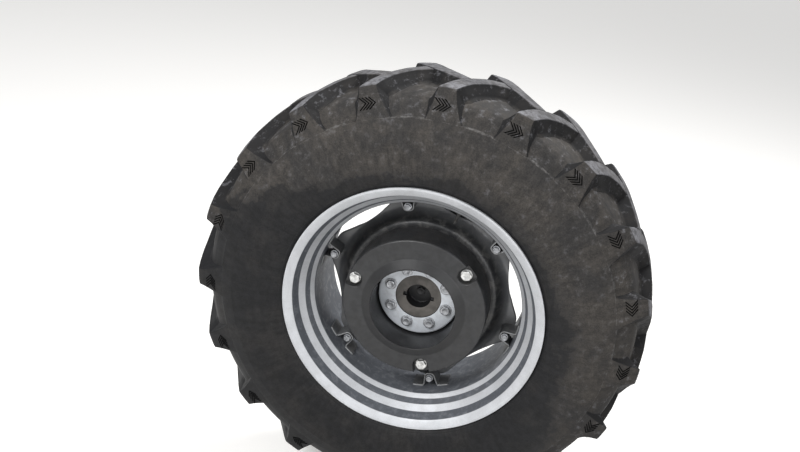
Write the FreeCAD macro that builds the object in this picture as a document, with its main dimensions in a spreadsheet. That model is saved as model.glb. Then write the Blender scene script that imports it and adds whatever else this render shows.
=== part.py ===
import FreeCAD
import Part
import Sketcher
import math
import os
import re

# Tractor rear wheel on the outer end of its axle
#
# Millimetres. X points forwards, Z up and Y inwards, to the tractor's middle. The origin is the
# centre of the face by which the axle housing bolts to the tractor, on the axis of the wheel.
# Depths are counted inwards, along Y, from the plane of the rim's outer flange.

# Driving sizes: name, value, what it is
SIZES = [
    ("axle_reach", 595, "from the rim's outer plane to the axle housing's mounting face"),
    ("wheel_angle", 44.6, "angle of the first rim bolt above the forward direction"),
    ("face_gap", 0.3, "left between curved faces that seat on one another"),
    # Rim
    ("rim_radius", 406.5, "to the edge of the flanges"),
    ("rim_width", 361, "over both flanges"),
    ("rim_sheet", 8, "thickness of the drop wall"),
    ("well_sheet", 11, "thickness of the well"),
    ("flange_edge", 10, "thickness of the rolled edge"),
    ("flange_lip", 5.5, "flat width of that edge, seen from outside"),
    ("flange_height", 25.4, "from the bead seat to the flange's edge"),
    ("flange_lean", 9, "how far the flange leans out over its height"),
    ("flange_foot_drop", 28.2, "from the flange's edge in to its foot, seen from outside"),
    ("flange_foot_depth", 14.3, "depth of that foot"),
    ("seat_end_drop", 38.6, "to the inner end of the bead seat"),
    ("seat_end_depth", 38.9, "depth of that end"),
    ("step_drop", 55.3, "to the foot of the step below the bead seat"),
    ("step_depth", 59.2, "depth of that foot"),
    ("slope_drop", 65.7, "to the start of the last slope"),
    ("slope_depth", 78.3, "depth of that start"),
    ("well_drop", 77.8, "to the well, the cylinder that carries the loops"),
    ("well_depth", 97.3, "depth where the well starts"),
    ("seat_width", 37, "bead seat, on the tyre's side"),
    ("well_lead", 10, "how far the well starts earlier on the tyre's side"),
    # Tyre
    ("tyre_radius", 715, "over the lugs, at the middle of their noses"),
    ("floor_drop", 43, "from there in to the tread's floor"),
    ("floor_width", 304, "over the tread's floor"),
    ("ledge_drop", 103, "from the full radius to the ledge at the foot of the lugs"),
    ("section_width", 380, "the tyre's widest"),
    ("section_drop", 123, "from the full radius to the upper end of the widest stretch"),
    ("bulge_height", 31, "from the flange's edge to the lower end of that stretch"),
    ("tread_base", 34, "thickness of the tread below its floor"),
    ("bead_width", 38, "width of each bead on its seat"),
    # Lugs
    ("lug_count", 19, "lugs on each side"),
    ("lug_angle", 121, "outer end of a lug, from the first rim bolt"),
    ("lug_stagger", 0.5, "inner side's lugs against the outer side's, as a share of their pitch"),
    ("lug_sweep", 12, "angle by which a lug's nose leads its outer end"),
    ("lug_reach", 30, "how far the nose lies past the centre plane"),
    ("lug_nose_width", 48, "across the top of the nose"),
    ("lug_end_width", 56, "across the top of the outer end"),
    ("lug_foot_width", 122, "across the foot of the outer end"),
    ("lug_lead_draft", 18, "slope of the leading side"),
    ("lug_trail_draft", 14, "slope of the trailing side"),
    ("lug_sink", 17, "how far the foot of a lug is sunk in the carcass"),
    ("tread_width", 268, "over the outer ends of the lugs' tops"),
    ("shoulder_drop", 12, "from the full radius to those ends"),
    ("lug_end_height", 94, "of an end face, down to its foot on the ledge"),
    ("lug_end_spread", 32, "how much further out that foot lies"),
    ("lug_overrun", 0.1, "share by which an end face runs on into the ledge"),
    # Disc
    ("disc_thickness", 12, "plate of the disc"),
    ("disc_lean", 5, "how far the back of the sloping wall is shifted inwards"),
    ("hub_face_depth", 128, "depth of the disc's centre face"),
    ("dish_gap", 1, "round the hub flange, inside the disc's dish"),
    ("disc_dish", 27, "from the centre face back to the weight's seat"),
    ("seat_margin", 15.4, "seat beyond the weight"),
    ("tab_step", 45, "from the weight's seat back to the tabs"),
    ("tab_gap", 12.7, "from the well in to the tabs' ends"),
    ("scallop_gap", 51.7, "from the well in to the middle of a scallop"),
    ("scallop_radius", 440, "radius of the scallops between the tabs"),
    # Loops and rim bolts
    ("rim_bolt_count", 6, "loops, tabs and rim bolts"),
    ("rim_bolt_inset", 30, "from the well in to the rim bolts"),
    ("loop_length", 59, "along the axle"),
    ("loop_sheet", 7, "strap of the loops"),
    ("loop_bore", 15, "inner radius of a loop's round back"),
    ("loop_foot", 56, "from a loop's middle to the end of a foot"),
    ("loop_disc_gap", 1.7, "from a loop's round back in to the disc's slope"),
    ("rim_bolt_flats", 24, "across flats"),
    ("rim_bolt_head", 9, "height of the head"),
    ("rim_washer_width", 40, "washer that spans a loop's mouth"),
    ("rim_washer_height", 3.5, "thickness of that washer"),
    ("rim_nut_height", 14, "nut behind the tab"),
    # Weight
    ("weight_radius", 225.6, "to the rim of the weight"),
    ("weight_thickness", 110, "from its seat to its face"),
    ("weight_chamfer", 4, "at the outer edge"),
    ("weight_gap", 3, "from the dish of the disc out to the weight's bore"),
    ("lip_height", 15.5, "of the lip over the weight's face"),
    ("lip_land", 4, "flat width of the lip"),
    ("lip_slope", 28.4, "radial width of the slope up to the lip"),
    ("weight_bolt_count", 3, "bolts through the weight"),
    ("weight_bolt_inset", 23.7, "from the weight's rim in to its bolts"),
    ("weight_pocket", 24, "radius of the pocket round each bolt"),
    ("weight_pocket_floor", 19, "depth of that pocket"),
    ("weight_bolt_flats", 30, "across flats"),
    ("weight_bolt_head", 14, "height of the head"),
    # Hub and axle shaft
    ("hub_bolt_count", 8, "bolts that hold the disc to the hub flange"),
    ("hub_bolt_radius", 95, "circle of those bolts"),
    ("hub_bolt_flats", 26, "across flats"),
    ("hub_bolt_head", 12, "height of the head with its washer"),
    ("hub_flange_margin", 22, "flange beyond the bolt circle"),
    ("hub_flange_thickness", 25, "flange of the axle shaft"),
    ("pilot_radius", 73, "boss that centres the disc"),
    ("pilot_sink", 2, "how far the boss stays behind the disc's face"),
    ("recess_radius", 40, "round recess in the boss"),
    ("recess_depth", 45, "depth of that recess"),
    ("notch_width", 14, "two driver notches beside the recess"),
    ("notch_reach", 49, "from the axis to the end of a notch"),
    ("notch_depth", 12, "depth of the notches"),
    ("end_bolt_flats", 24, "bolt in the floor of the recess"),
    ("end_bolt_head", 10, "its height"),
    ("shaft_radius", 42, "of the axle shaft"),
    ("shaft_tail", 45, "of the shaft beyond the mounting face"),
    # Axle housing, with eight sides from the bearing end to the mounting flange
    ("hub_gap", 17, "from the hub flange to the seal retainer"),
    ("retainer_thickness", 12, "seal retainer"),
    ("retainer_margin", 2, "housing's bearing end beyond the retainer's corners"),
    ("retainer_bolt_count", 8, "bolts of the retainer"),
    ("retainer_bolt_inset", 13, "from the retainer's flat edges in to its bolts"),
    ("retainer_bolt_flats", 13, "across flats"),
    ("retainer_bolt_head", 8, "height of the head"),
    ("bearing_end_radius", 98, "housing round the bearing"),
    ("bearing_end_length", 64, "length of that stretch"),
    ("bearing_clearance", 0.05, "running clearance of the shaft"),
    ("barrel_flats", 150, "barrel between them, across flats"),
    ("housing_flange_flats", 300, "mounting flange, across flats"),
    ("housing_flange_thickness", 22, "thickness of that flange"),
    ("housing_hole_count", 8, "holes of the mounting flange"),
    ("housing_hole_radius", 7.5, "radius of those holes"),
    ("housing_hole_inset", 16, "from the flange's flat edges in to the holes' circle"),
    ("rib_count", 4, "ribs along the housing"),
    ("rib_thickness", 14, "thickness of a rib"),
    ("rib_length", 130, "length of a rib"),
    ("rib_inset", 24, "from the flange's edge in to a rib's top"),
    ("plug_depth", 175, "from the mounting face to the level plug"),
    ("plug_boss_radius", 20, "boss that carries the plug"),
    ("plug_boss_height", 96, "from the axis to the boss's face"),
    ("plug_flats", 24, "across flats"),
    ("plug_height", 11, "height of the plug"),
    # Valve
    ("valve_angle", 30, "angle from the first rim bolt"),
    ("valve_inset", 14, "from the start of the well to the valve"),
    ("valve_radius", 6, "stem"),
    ("valve_length", 42, "stem"),
]

NAMES = {name for name, value, meaning in SIZES}

# Radii and depths that follow from the sizes
WELL = "(rim_radius - well_drop)"
BEAD_SEAT = "(rim_radius - flange_height)"
RIM_BOLT_RADIUS = f"({WELL} - rim_bolt_inset)"
HUB_FLANGE_RADIUS = "(hub_bolt_radius + hub_flange_margin)"
DISH_RADIUS = f"({HUB_FLANGE_RADIUS} + dish_gap + disc_thickness)"
LOOP_OUTER = "(loop_bore + loop_sheet)"
SLOPE_END = f"({RIM_BOLT_RADIUS} - {LOOP_OUTER} - loop_disc_gap)"
SEAT_DEPTH = "(hub_face_depth + disc_dish)"
TAB_DEPTH = f"({SEAT_DEPTH} + tab_step)"
TAB_BACK = f"({TAB_DEPTH} + disc_thickness)"
LOOP_FRONT = f"({TAB_DEPTH} - loop_length)"
WEIGHT_FACE = f"({SEAT_DEPTH} - weight_thickness)"
WEIGHT_BORE = f"({DISH_RADIUS} + weight_gap)"
WEIGHT_BOLT_RADIUS = "(weight_radius - weight_bolt_inset)"
HUB_FRONT = "(hub_face_depth + disc_thickness)"
HUB_BACK = f"({HUB_FRONT} + hub_flange_thickness)"
PILOT_FACE = "(hub_face_depth + pilot_sink)"
RETAINER_FRONT = f"({HUB_BACK} + hub_gap)"
RETAINER_BACK = f"({RETAINER_FRONT} + retainer_thickness)"
RETAINER_FLATS = "(2 * (bearing_end_radius - retainer_margin) * cos(22.5 deg))"
FLANGE_FACE = "(axle_reach - housing_flange_thickness)"
HOUSING_HOLE_CIRCLE = "(housing_flange_flats / 2 - housing_hole_inset)"

doc = FreeCAD.newDocument("TractorRearWheel")
sheet = doc.addObject("Spreadsheet::Sheet", "Sizes")
for row, (name, value, meaning) in enumerate(SIZES, 1):
    sheet.set(f"A{row}", name)
    sheet.set(f"B{row}", str(value))
    sheet.set(f"C{row}", meaning)
    sheet.setAlias(f"B{row}", name)
doc.recompute()


def bound(text):
    """The expression with each size's name pointed at the sheet."""
    return re.sub(r"[a-z_]+", lambda word: "Sizes." + word[0] if word[0] in NAMES else word[0], text)


def value_of(text):
    """The number that an expression gives now."""
    return float(sheet.evalExpression(bound(text)))


def origin_feature(body, role):
    """A plane or axis of the body's own origin."""
    return next(feature for feature in body.Origin.OriginFeatures if feature.Role == role)


def place(item, along, turn):
    """Put an item along the axle, turned about it from forwards to up."""
    item.setExpression("Placement", bound(
        f"create(<<placement>>; create(<<vector>>; 0; {along}; 0);"
        f" create(<<rotation>>; create(<<vector>>; 0; 1; 0); -({turn})))"))


def new_body(label, along="-axle_reach", turn="0"):
    """A body whose own Y counts depth, turned about the wheel's axis from forwards to up."""
    body = doc.addObject("PartDesign::Body", label)
    body.Label = label
    body.AllowCompound = True
    place(body, along, turn)
    return body


def new_sketch(body, name, role, offset="0"):
    """A sketch on a plane of the body's origin, moved along that plane's normal."""
    sketch = body.newObject("Sketcher::SketchObject", name)
    sketch.AttachmentSupport = [(origin_feature(body, role), "")]
    sketch.MapMode = "FlatFace"
    sketch.setExpression(".AttachmentOffset.Base.z", bound(offset))
    return sketch


def fix_point(sketch, edge, end, across, up):
    """Bind one point of an edge to two expressions."""
    for kind, text in (("DistanceX", across), ("DistanceY", up)):
        held = sketch.addConstraint(Sketcher.Constraint(kind, -1, 1, edge, end, value_of(text)))
        sketch.setExpression(f"Constraints[{held}]", bound(text))


def draw_outline(sketch, corners, arcs=()):
    """Closed outline. arcs gives round sides, first corner: (point passed, across of its centre)."""
    arcs = dict(arcs)
    points = [FreeCAD.Vector(value_of(across), value_of(up), 0) for across, up in corners]
    for i, start in enumerate(points):
        end = points[(i + 1) % len(points)]
        if i in arcs:
            middle = FreeCAD.Vector(*(value_of(text) for text in arcs[i][0]), 0)
            sketch.addGeometry(Part.Arc(start, middle, end), False)
        else:
            sketch.addGeometry(Part.LineSegment(start, end), False)

    def start_of(i):
        """An arc is kept as running against the clock, so it may start at its second corner."""
        return 1 if sketch.getPoint(i, 1).distanceToPoint(points[i]) < 1e-6 else 2

    for i, (across, up) in enumerate(corners):
        before = (i - 1) % len(corners)
        sketch.addConstraint(Sketcher.Constraint(
            "Coincident", before, 3 - start_of(before), i, start_of(i)))
        fix_point(sketch, i, start_of(i), across, up)
    for i, (through, centre_across) in arcs.items():
        held = sketch.addConstraint(Sketcher.Constraint("DistanceX", -1, 1, i, 3, value_of(centre_across)))
        sketch.setExpression(f"Constraints[{held}]", bound(centre_across))
    return sketch


def turn_outline(body, name, corners):
    """Turn an outline of (radius, depth) corners about the wheel's axis."""
    sketch = draw_outline(new_sketch(body, name + "_outline", "XY_Plane"), corners)
    turned = body.newObject("PartDesign::Revolution", name + "_turned")
    turned.Profile = sketch
    turned.ReferenceAxis = (sketch, ["V_Axis"])
    turned.Angle = 360
    return turned


def pad(body, sketch, length):
    """Raise a sketch along its normal, which is outboard on a plane across the axle."""
    raised = body.newObject("PartDesign::Pad", sketch.Name + "_pad")
    raised.Profile = sketch
    raised.setExpression("Length", bound(length))
    return raised


def pocket(body, sketch, depth=None):
    """Cut a sketch against its normal, which is inwards across the axle; all through with no depth."""
    cut = body.newObject("PartDesign::Pocket", sketch.Name + "_cut")
    cut.Profile = sketch
    if depth is None:
        cut.Type = "ThroughAll"
    else:
        cut.setExpression("Length", bound(depth))
    return cut


def repeat(body, features, count):
    """Repeat features about the wheel's axis."""
    ring = body.newObject("PartDesign::PolarPattern", features[0].Name + "_ring")
    ring.Originals = features
    ring.Axis = (origin_feature(body, "Y_Axis"), [""])
    ring.Angle = 360
    ring.setExpression("Occurrences", bound(count))
    body.Tip = ring
    return ring


def polygon(sides, flats, across="0", up="0", first="0"):
    """Corners of a regular outline of that width across flats; first is the angle of its first corner."""
    corner = f"{flats} / 2 / cos({180 / sides} deg)"
    return [(f"{across} + {corner} * cos({first} deg + {360 * i / sides} deg)",
             f"{up} + {corner} * sin({first} deg + {360 * i / sides} deg)") for i in range(sides)]


def hexagon(flats, across="0", up="0"):
    """Corners of a hexagon, one of them pointing sideways."""
    return polygon(6, flats, across, up)


def octagon(flats):
    """Corners of an octagon on the wheel's axis, with flat sides up, down, ahead and behind."""
    return polygon(8, flats, first="22.5")


def circle(sketch, radius, across="0", up="0"):
    """A circle whose centre and radius are bound."""
    centre = FreeCAD.Vector(value_of(across), value_of(up), 0)
    edge = sketch.addGeometry(Part.Circle(centre, FreeCAD.Vector(0, 0, 1), value_of(radius)), False)
    held = sketch.addConstraint(Sketcher.Constraint("Radius", edge, value_of(radius)))
    sketch.setExpression(f"Constraints[{held}]", bound(radius))
    fix_point(sketch, edge, 3, across, up)
    return sketch


def across_axle(body, name, depth):
    """A sketch on the plane across the axle at that depth."""
    return new_sketch(body, name, "XZ_Plane", f"-({depth})")


def hex_heads(label, circle_radius, count, flats, seat, height, turn):
    """A ring of hexagon heads that stand outboard of the plane they seat on."""
    body = new_body(label, turn=turn)
    sketch = draw_outline(across_axle(body, label + "_hex", seat), hexagon(flats, circle_radius))
    repeat(body, [pad(body, sketch, height)], count)
    return body


def make_rim():
    """Rolled rim: flanges, bead seats and steps on both sides of a drop-centre well."""
    body = new_body("rim", "-axle_reach + rim_width / 2")
    # How far inside the flange's edge, and how deep, on the side that shows
    flange = [("0", "0"), ("flange_lip", "0"), ("flange_foot_drop", "flange_foot_depth"),
              ("seat_end_drop", "seat_end_depth")]
    outboard = flange + [("step_drop", "step_depth"), ("slope_drop", "slope_depth"),
                         ("well_drop", "well_depth")]
    inboard = flange + [("well_drop", "seat_end_depth")]
    # The same on the tyre's side
    seat = [("0", "flange_edge"), ("flange_height", "flange_edge + flange_lean")]
    outboard_back = seat + [("flange_height", "flange_edge + flange_lean + seat_width"),
                            ("(well_drop - well_sheet)", "well_depth - well_lead")]
    inboard_back = seat + [("flange_height", "seat_end_depth + rim_sheet"),
                           ("(well_drop - well_sheet)", "seat_end_depth + rim_sheet")]
    outer_half = [(f"rim_radius - {drop}", f"-(rim_width / 2 - ({depth}))")
                  for drop, depth in outboard_back[::-1] + outboard]
    inner_half = [(f"rim_radius - {drop}", f"rim_width / 2 - ({depth})")
                  for drop, depth in inboard[::-1] + inboard_back]
    turn_outline(body, "rim", outer_half + inner_half)
    return body


def make_carcass():
    """Tyre without its lugs: turned sidewalls and beads, and a belt with two flat sides to a lug."""
    body = new_body("carcass", "-axle_reach + rim_width / 2")
    heel_half = "(rim_width / 2 - flange_edge - flange_lean - face_gap)"
    # Radius and distance from the centre plane, from the bead out to the ledge
    half = [(f"{BEAD_SEAT} + face_gap", heel_half),
            ("rim_radius + face_gap", "rim_width / 2 - flange_edge - face_gap"),
            ("rim_radius + bulge_height", "section_width / 2"),
            ("tyre_radius - section_drop", "section_width / 2"),
            ("tyre_radius - ledge_drop", "floor_width / 2")]
    turn_outline(body, "sidewalls", half + [(radius, f"-({along})") for radius, along in half[::-1]])
    lugs = round(value_of("lug_count"))
    belt = draw_outline(across_axle(body, "belt", "0"), polygon(2 * lugs, "2 * (tyre_radius - floor_drop)"))
    circle(belt, "tyre_radius - ledge_drop - tread_base")
    pad(body, belt, "floor_width").Midplane = True
    inside = draw_outline(across_axle(body, "inside", "0"),
                          polygon(lugs, "2 * (tyre_radius - floor_drop - tread_base)"))
    hollow = pocket(body, inside, f"2 * ({heel_half} - bead_width)")
    hollow.Midplane = True
    body.Tip = hollow
    return body


def lug_shape(sections, side):
    """One lug with flat faces, its outer end on the body's X axis. side is 1 outboard and -1 inboard."""
    middle = -value_of("lug_sweep") / 2
    lead_slope = math.tan(math.radians(value_of("lug_lead_draft")))
    trail_slope = math.tan(math.radians(value_of("lug_trail_draft")))
    rings = []
    for out, top, angle, width, foot in sections:
        across = top * math.sin(math.radians(angle - middle))
        height = top * math.cos(math.radians(angle - middle))
        corners = [(foot, across - width / 2 - lead_slope * (height - foot)), (height, across - width / 2),
                   (height, across + width / 2), (foot, across + width / 2 + trail_slope * (height - foot))]
        rings.append([FreeCAD.Vector(up, -side * out, sideways) for up, sideways in corners])
    outlines = [rings[0], rings[-1]]
    for near, far in zip(rings, rings[1:]):
        outlines += [[near[i], near[i - 1], far[i - 1], far[i]] for i in range(4)]
    faces = [Part.Face(Part.makePolygon(points + points[:1])) for points in outlines]
    lug = Part.makeSolid(Part.Shell(faces))
    lug.rotate(FreeCAD.Vector(0, 0, 0), FreeCAD.Vector(0, 1, 0), -middle)
    return lug


def make_lugs():
    """Lugs of both sides, each from its nose past the centre plane to its foot on the ledge."""
    over = value_of("1 + lug_overrun")
    floor = value_of("tyre_radius - floor_drop - lug_sink")
    end_out, end_top = value_of("tread_width / 2"), value_of("tyre_radius - shoulder_drop")
    foot_out = end_out + over * value_of("lug_end_spread")
    foot_top = end_top - over * value_of("lug_end_height")
    foot_width = value_of("lug_end_width") + over * value_of("lug_foot_width - lug_end_width")
    # Distance out from the centre plane, radius of the top, its angle, its width, height of the foot
    sections = [(-value_of("lug_reach"), value_of("tyre_radius"), -value_of("lug_sweep"),
                 value_of("lug_nose_width"), floor),
                (end_out, end_top, 0, value_of("lug_end_width"), floor),
                (foot_out, foot_top, 0, foot_width, foot_top - value_of("lug_sink"))]
    pitch = 360 / value_of("lug_count")
    ring = []
    for side, shift in ((1, 0), (-1, value_of("lug_stagger"))):
        for i in range(round(value_of("lug_count"))):
            lug = lug_shape(sections, side)
            lug.rotate(FreeCAD.Vector(0, 0, 0), FreeCAD.Vector(0, 1, 0), pitch * (i + shift))
            ring.append(lug)
    lugs = doc.addObject("Part::Feature", "lugs")
    lugs.Shape = Part.Compound(ring)
    place(lugs, "-axle_reach + rim_width / 2", "wheel_angle + lug_angle")
    return lugs


def make_tyre():
    """The carcass with its lugs on it."""
    carcass, lugs = make_carcass(), make_lugs()
    doc.recompute()
    tyre = doc.addObject("Part::Feature", "tyre")
    tyre.Label = "tyre"
    tyre.Shape = carcass.Shape.multiFuse(lugs.Shape.Solids)
    return tyre


def make_disc():
    """Pressed disc: flat centre, seat for the weight, outer slope and six tabs between scallops."""
    body = new_body("wheel_disc", turn="wheel_angle")
    # Radius and depth of each corner, from the centre hole out over the face that shows and back behind
    turn_outline(body, "disc", [
        ("pilot_radius + face_gap", "hub_face_depth"), (DISH_RADIUS, "hub_face_depth"),
        (DISH_RADIUS, SEAT_DEPTH), ("weight_radius + seat_margin", SEAT_DEPTH),
        (SLOPE_END, TAB_DEPTH), (f"{WELL} - tab_gap", TAB_DEPTH),
        (f"{WELL} - tab_gap", TAB_BACK), (f"{SLOPE_END} - disc_lean", TAB_BACK),
        ("weight_radius + seat_margin - disc_lean", f"{SEAT_DEPTH} + disc_thickness"),
        (f"{DISH_RADIUS} - disc_thickness", f"{SEAT_DEPTH} + disc_thickness"),
        (f"{DISH_RADIUS} - disc_thickness", HUB_FRONT), ("pilot_radius + face_gap", HUB_FRONT)])
    # A scallop lies half a pitch from a tab; the first tab is on the body's own X axis
    reach = f"({WELL} - scallop_gap + scallop_radius)"
    half_pitch = "(180 deg / rim_bolt_count)"
    sketch = across_axle(body, "scallop", "0")
    circle(sketch, "scallop_radius", f"{reach} * cos{half_pitch}", f"{reach} * sin{half_pitch}")
    repeat(body, [pocket(body, sketch)], "rim_bolt_count")
    return body


def make_loops():
    """Strap loops welded in the well; each carries one rim bolt through its round back."""
    body = new_body("rim_loops", turn="wheel_angle")
    seat = f"(sqrt({WELL} * {WELL} - loop_foot * loop_foot) - face_gap)"
    # Distance from the axle and to the side, from one foot round the back to the other and inside again
    outside = [(f"{seat} - loop_sheet", "-loop_foot"), (f"{seat} - loop_sheet", f"-{LOOP_OUTER}"),
               (RIM_BOLT_RADIUS, f"-{LOOP_OUTER}"), (RIM_BOLT_RADIUS, LOOP_OUTER),
               (f"{seat} - loop_sheet", LOOP_OUTER), (f"{seat} - loop_sheet", "loop_foot")]
    inside = [(seat, "loop_foot"), (seat, "loop_bore"), (RIM_BOLT_RADIUS, "loop_bore"),
              (RIM_BOLT_RADIUS, "-loop_bore"), (seat, "-loop_bore"), (seat, "-loop_foot")]
    corners = outside + inside
    backs = {corners.index((RIM_BOLT_RADIUS, f"-{LOOP_OUTER}")):
             ((f"{RIM_BOLT_RADIUS} - {LOOP_OUTER}", "0"), RIM_BOLT_RADIUS),
             corners.index((RIM_BOLT_RADIUS, "loop_bore")):
             ((f"{RIM_BOLT_RADIUS} - loop_bore", "0"), RIM_BOLT_RADIUS)}
    sketch = draw_outline(across_axle(body, "loop", TAB_DEPTH), corners, backs)
    repeat(body, [pad(body, sketch, "loop_length")], "rim_bolt_count")
    return body


def make_rim_bolts():
    """Heads of the bolts in the loops, each on a washer that spans its loop's mouth."""
    body = new_body("rim_bolts", turn="wheel_angle")
    washer = draw_outline(across_axle(body, "rim_washer", LOOP_FRONT),
                          polygon(12, "rim_washer_width", RIM_BOLT_RADIUS))
    head = draw_outline(across_axle(body, "rim_head", f"{LOOP_FRONT} - rim_washer_height"),
                        hexagon("rim_bolt_flats", RIM_BOLT_RADIUS))
    repeat(body, [pad(body, washer, "rim_washer_height"), pad(body, head, "rim_bolt_head")], "rim_bolt_count")
    return body


def make_weight():
    """Cast ring weight: raised lip round the bore, chamfered edge and open pockets for its bolts."""
    body = new_body("wheel_weight", turn="wheel_angle")
    lip = f"({WEIGHT_FACE} - lip_height)"
    turn_outline(body, "weight", [
        (WEIGHT_BORE, SEAT_DEPTH), ("weight_radius", SEAT_DEPTH),
        ("weight_radius", f"{WEIGHT_FACE} + weight_chamfer"), ("weight_radius - weight_chamfer", WEIGHT_FACE),
        (f"{WEIGHT_BORE} + lip_land + lip_slope", WEIGHT_FACE), (f"{WEIGHT_BORE} + lip_land", lip),
        (WEIGHT_BORE, lip)])
    # Round end towards the axle, straight sides out past the weight's rim
    outside = "weight_radius + weight_pocket"
    corners = [(WEIGHT_BOLT_RADIUS, "weight_pocket"), (WEIGHT_BOLT_RADIUS, "-weight_pocket"),
               (outside, "-weight_pocket"), (outside, "weight_pocket")]
    sketch = draw_outline(across_axle(body, "weight_pocket_outline", WEIGHT_FACE), corners,
                          {0: ((f"{WEIGHT_BOLT_RADIUS} - weight_pocket", "0"), WEIGHT_BOLT_RADIUS)})
    repeat(body, [pocket(body, sketch, "weight_pocket_floor")], "weight_bolt_count")
    return body


def make_shaft():
    """Axle shaft: pilot boss with a round recess, flange for the disc, and shaft inwards."""
    body = new_body("axle_shaft")
    floor = f"({PILOT_FACE} + recess_depth)"
    turn_outline(body, "shaft", [
        ("0", floor), ("recess_radius", floor), ("recess_radius", PILOT_FACE), ("pilot_radius", PILOT_FACE),
        ("pilot_radius", HUB_FRONT), (HUB_FLANGE_RADIUS, HUB_FRONT), (HUB_FLANGE_RADIUS, HUB_BACK),
        ("shaft_radius", HUB_BACK), ("shaft_radius", "axle_reach + shaft_tail"),
        ("0", "axle_reach + shaft_tail")])
    corners = [("-notch_reach", "-notch_width / 2"), ("notch_reach", "-notch_width / 2"),
               ("notch_reach", "notch_width / 2"), ("-notch_reach", "notch_width / 2")]
    sketch = draw_outline(across_axle(body, "notch", PILOT_FACE), corners)
    body.Tip = pocket(body, sketch, "notch_depth")
    return body


def make_end_bolt():
    """Bolt in the floor of the shaft's recess."""
    body = new_body("axle_end_bolt")
    sketch = across_axle(body, "end_hex", f"{PILOT_FACE} + recess_depth")
    pad(body, draw_outline(sketch, hexagon("end_bolt_flats")), "end_bolt_head")
    return body


def make_housing():
    """Cast trumpet housing: round bearing end, widening barrel, ribs, mounting flange and plug boss."""
    body = new_body("axle_housing")
    barrel_start = f"({RETAINER_BACK} + bearing_end_length)"
    end = circle(across_axle(body, "bearing_end", barrel_start), "bearing_end_radius")
    pad(body, end, "bearing_end_length")
    pad(body, draw_outline(across_axle(body, "barrel", FLANGE_FACE), octagon("barrel_flats")),
        f"{FLANGE_FACE} - {barrel_start}")
    flange = draw_outline(across_axle(body, "mounting_flange", "axle_reach"), octagon("housing_flange_flats"))
    pad(body, flange, "housing_flange_thickness")
    # A rib starts inside the wall and dies out along the barrel
    buried = "(barrel_flats / 4 + shaft_radius / 2)"
    sketch = draw_outline(new_sketch(body, "rib", "XY_Plane"), [
        (buried, FLANGE_FACE), ("housing_flange_flats / 2 - rib_inset", FLANGE_FACE),
        ("barrel_flats / 2", f"{FLANGE_FACE} - rib_length"), (buried, f"{FLANGE_FACE} - rib_length")])
    rib = pad(body, sketch, "rib_thickness")
    rib.Midplane = True
    repeat(body, [rib], "rib_count")
    boss = circle(new_sketch(body, "plug_boss", "XY_Plane", "-plug_boss_height"),
                  "plug_boss_radius", "0", "axle_reach - plug_depth")
    pad(body, boss, f"plug_boss_height - {buried}")
    pocket(body, circle(across_axle(body, "bore", RETAINER_BACK), "shaft_radius + bearing_clearance"))
    sketch = across_axle(body, "housing_hole", FLANGE_FACE)
    circle(sketch, "housing_hole_radius", f"{HOUSING_HOLE_CIRCLE} * cos(180 deg / housing_hole_count)",
           f"{HOUSING_HOLE_CIRCLE} * sin(180 deg / housing_hole_count)")
    repeat(body, [pocket(body, sketch, "housing_flange_thickness")], "housing_hole_count")
    return body


def make_plug():
    """Level plug under the housing."""
    body = new_body("level_plug")
    sketch = new_sketch(body, "plug_hex", "XY_Plane", "-(plug_boss_height + plug_height)")
    draw_outline(sketch, hexagon("plug_flats", "0", "axle_reach - plug_depth"))
    pad(body, sketch, "plug_height")
    return body


def make_retainer():
    """Seal retainer, a plate with eight sides on the housing's bearing end."""
    body = new_body("seal_retainer")
    pad(body, draw_outline(across_axle(body, "retainer", RETAINER_BACK), octagon(RETAINER_FLATS)),
        "retainer_thickness")
    hole = circle(across_axle(body, "retainer_hole", RETAINER_FRONT), "shaft_radius + face_gap")
    body.Tip = pocket(body, hole)
    return body


def make_valve():
    """Valve stem in the well, pointing at the axle."""
    body = new_body("valve_stem", turn="wheel_angle + valve_angle")
    sketch = new_sketch(body, "valve", "YZ_Plane", f"{WELL} - face_gap - valve_length")
    circle(sketch, "valve_radius", "well_depth + valve_inset", "0")
    pad(body, sketch, "valve_length")
    return body


NODES = [
    make_housing(), make_retainer(),
    hex_heads("retainer_bolts", f"({RETAINER_FLATS} / 2 - retainer_bolt_inset)", "retainer_bolt_count",
              "retainer_bolt_flats", RETAINER_FRONT, "retainer_bolt_head", "0"),
    make_plug(), make_shaft(), make_end_bolt(), make_disc(),
    hex_heads("hub_bolts", "hub_bolt_radius", "hub_bolt_count",
              "hub_bolt_flats", "hub_face_depth", "hub_bolt_head", "wheel_angle + 120"),
    make_weight(),
    hex_heads("weight_bolts", WEIGHT_BOLT_RADIUS, "weight_bolt_count",
              "weight_bolt_flats", f"{WEIGHT_FACE} + weight_pocket_floor", "weight_bolt_head", "wheel_angle"),
    make_rim(), make_loops(), make_rim_bolts(),
    hex_heads("rim_nuts", RIM_BOLT_RADIUS, "rim_bolt_count",
              "rim_bolt_flats", f"{TAB_BACK} + rim_nut_height", "rim_nut_height", "wheel_angle"),
    make_tyre(), make_valve(),
]
doc.recompute()

# Every object is sound before anything is written
for item in doc.Objects:
    if "Invalid" in item.State or "Error" in item.State:
        raise RuntimeError(f"{item.Name} is {item.State}")
for node in NODES:
    if node.Shape.isNull() or not node.Shape.isValid() or not node.Shape.Solids:
        raise RuntimeError(f"{node.Label} has no sound solid")

os.makedirs("parts", exist_ok=True)
for node in NODES:
    node.Shape.exportStep(os.path.join("parts", node.Label + ".step"))
    box = node.Shape.BoundBox
    print(f"{node.Label}: {len(node.Shape.Solids)} solids, {node.Shape.Volume / 1000:.0f} cm3,"
          f" y {box.YMin:.1f} to {box.YMax:.1f}, z {box.ZMin:.1f} to {box.ZMax:.1f}")
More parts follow.
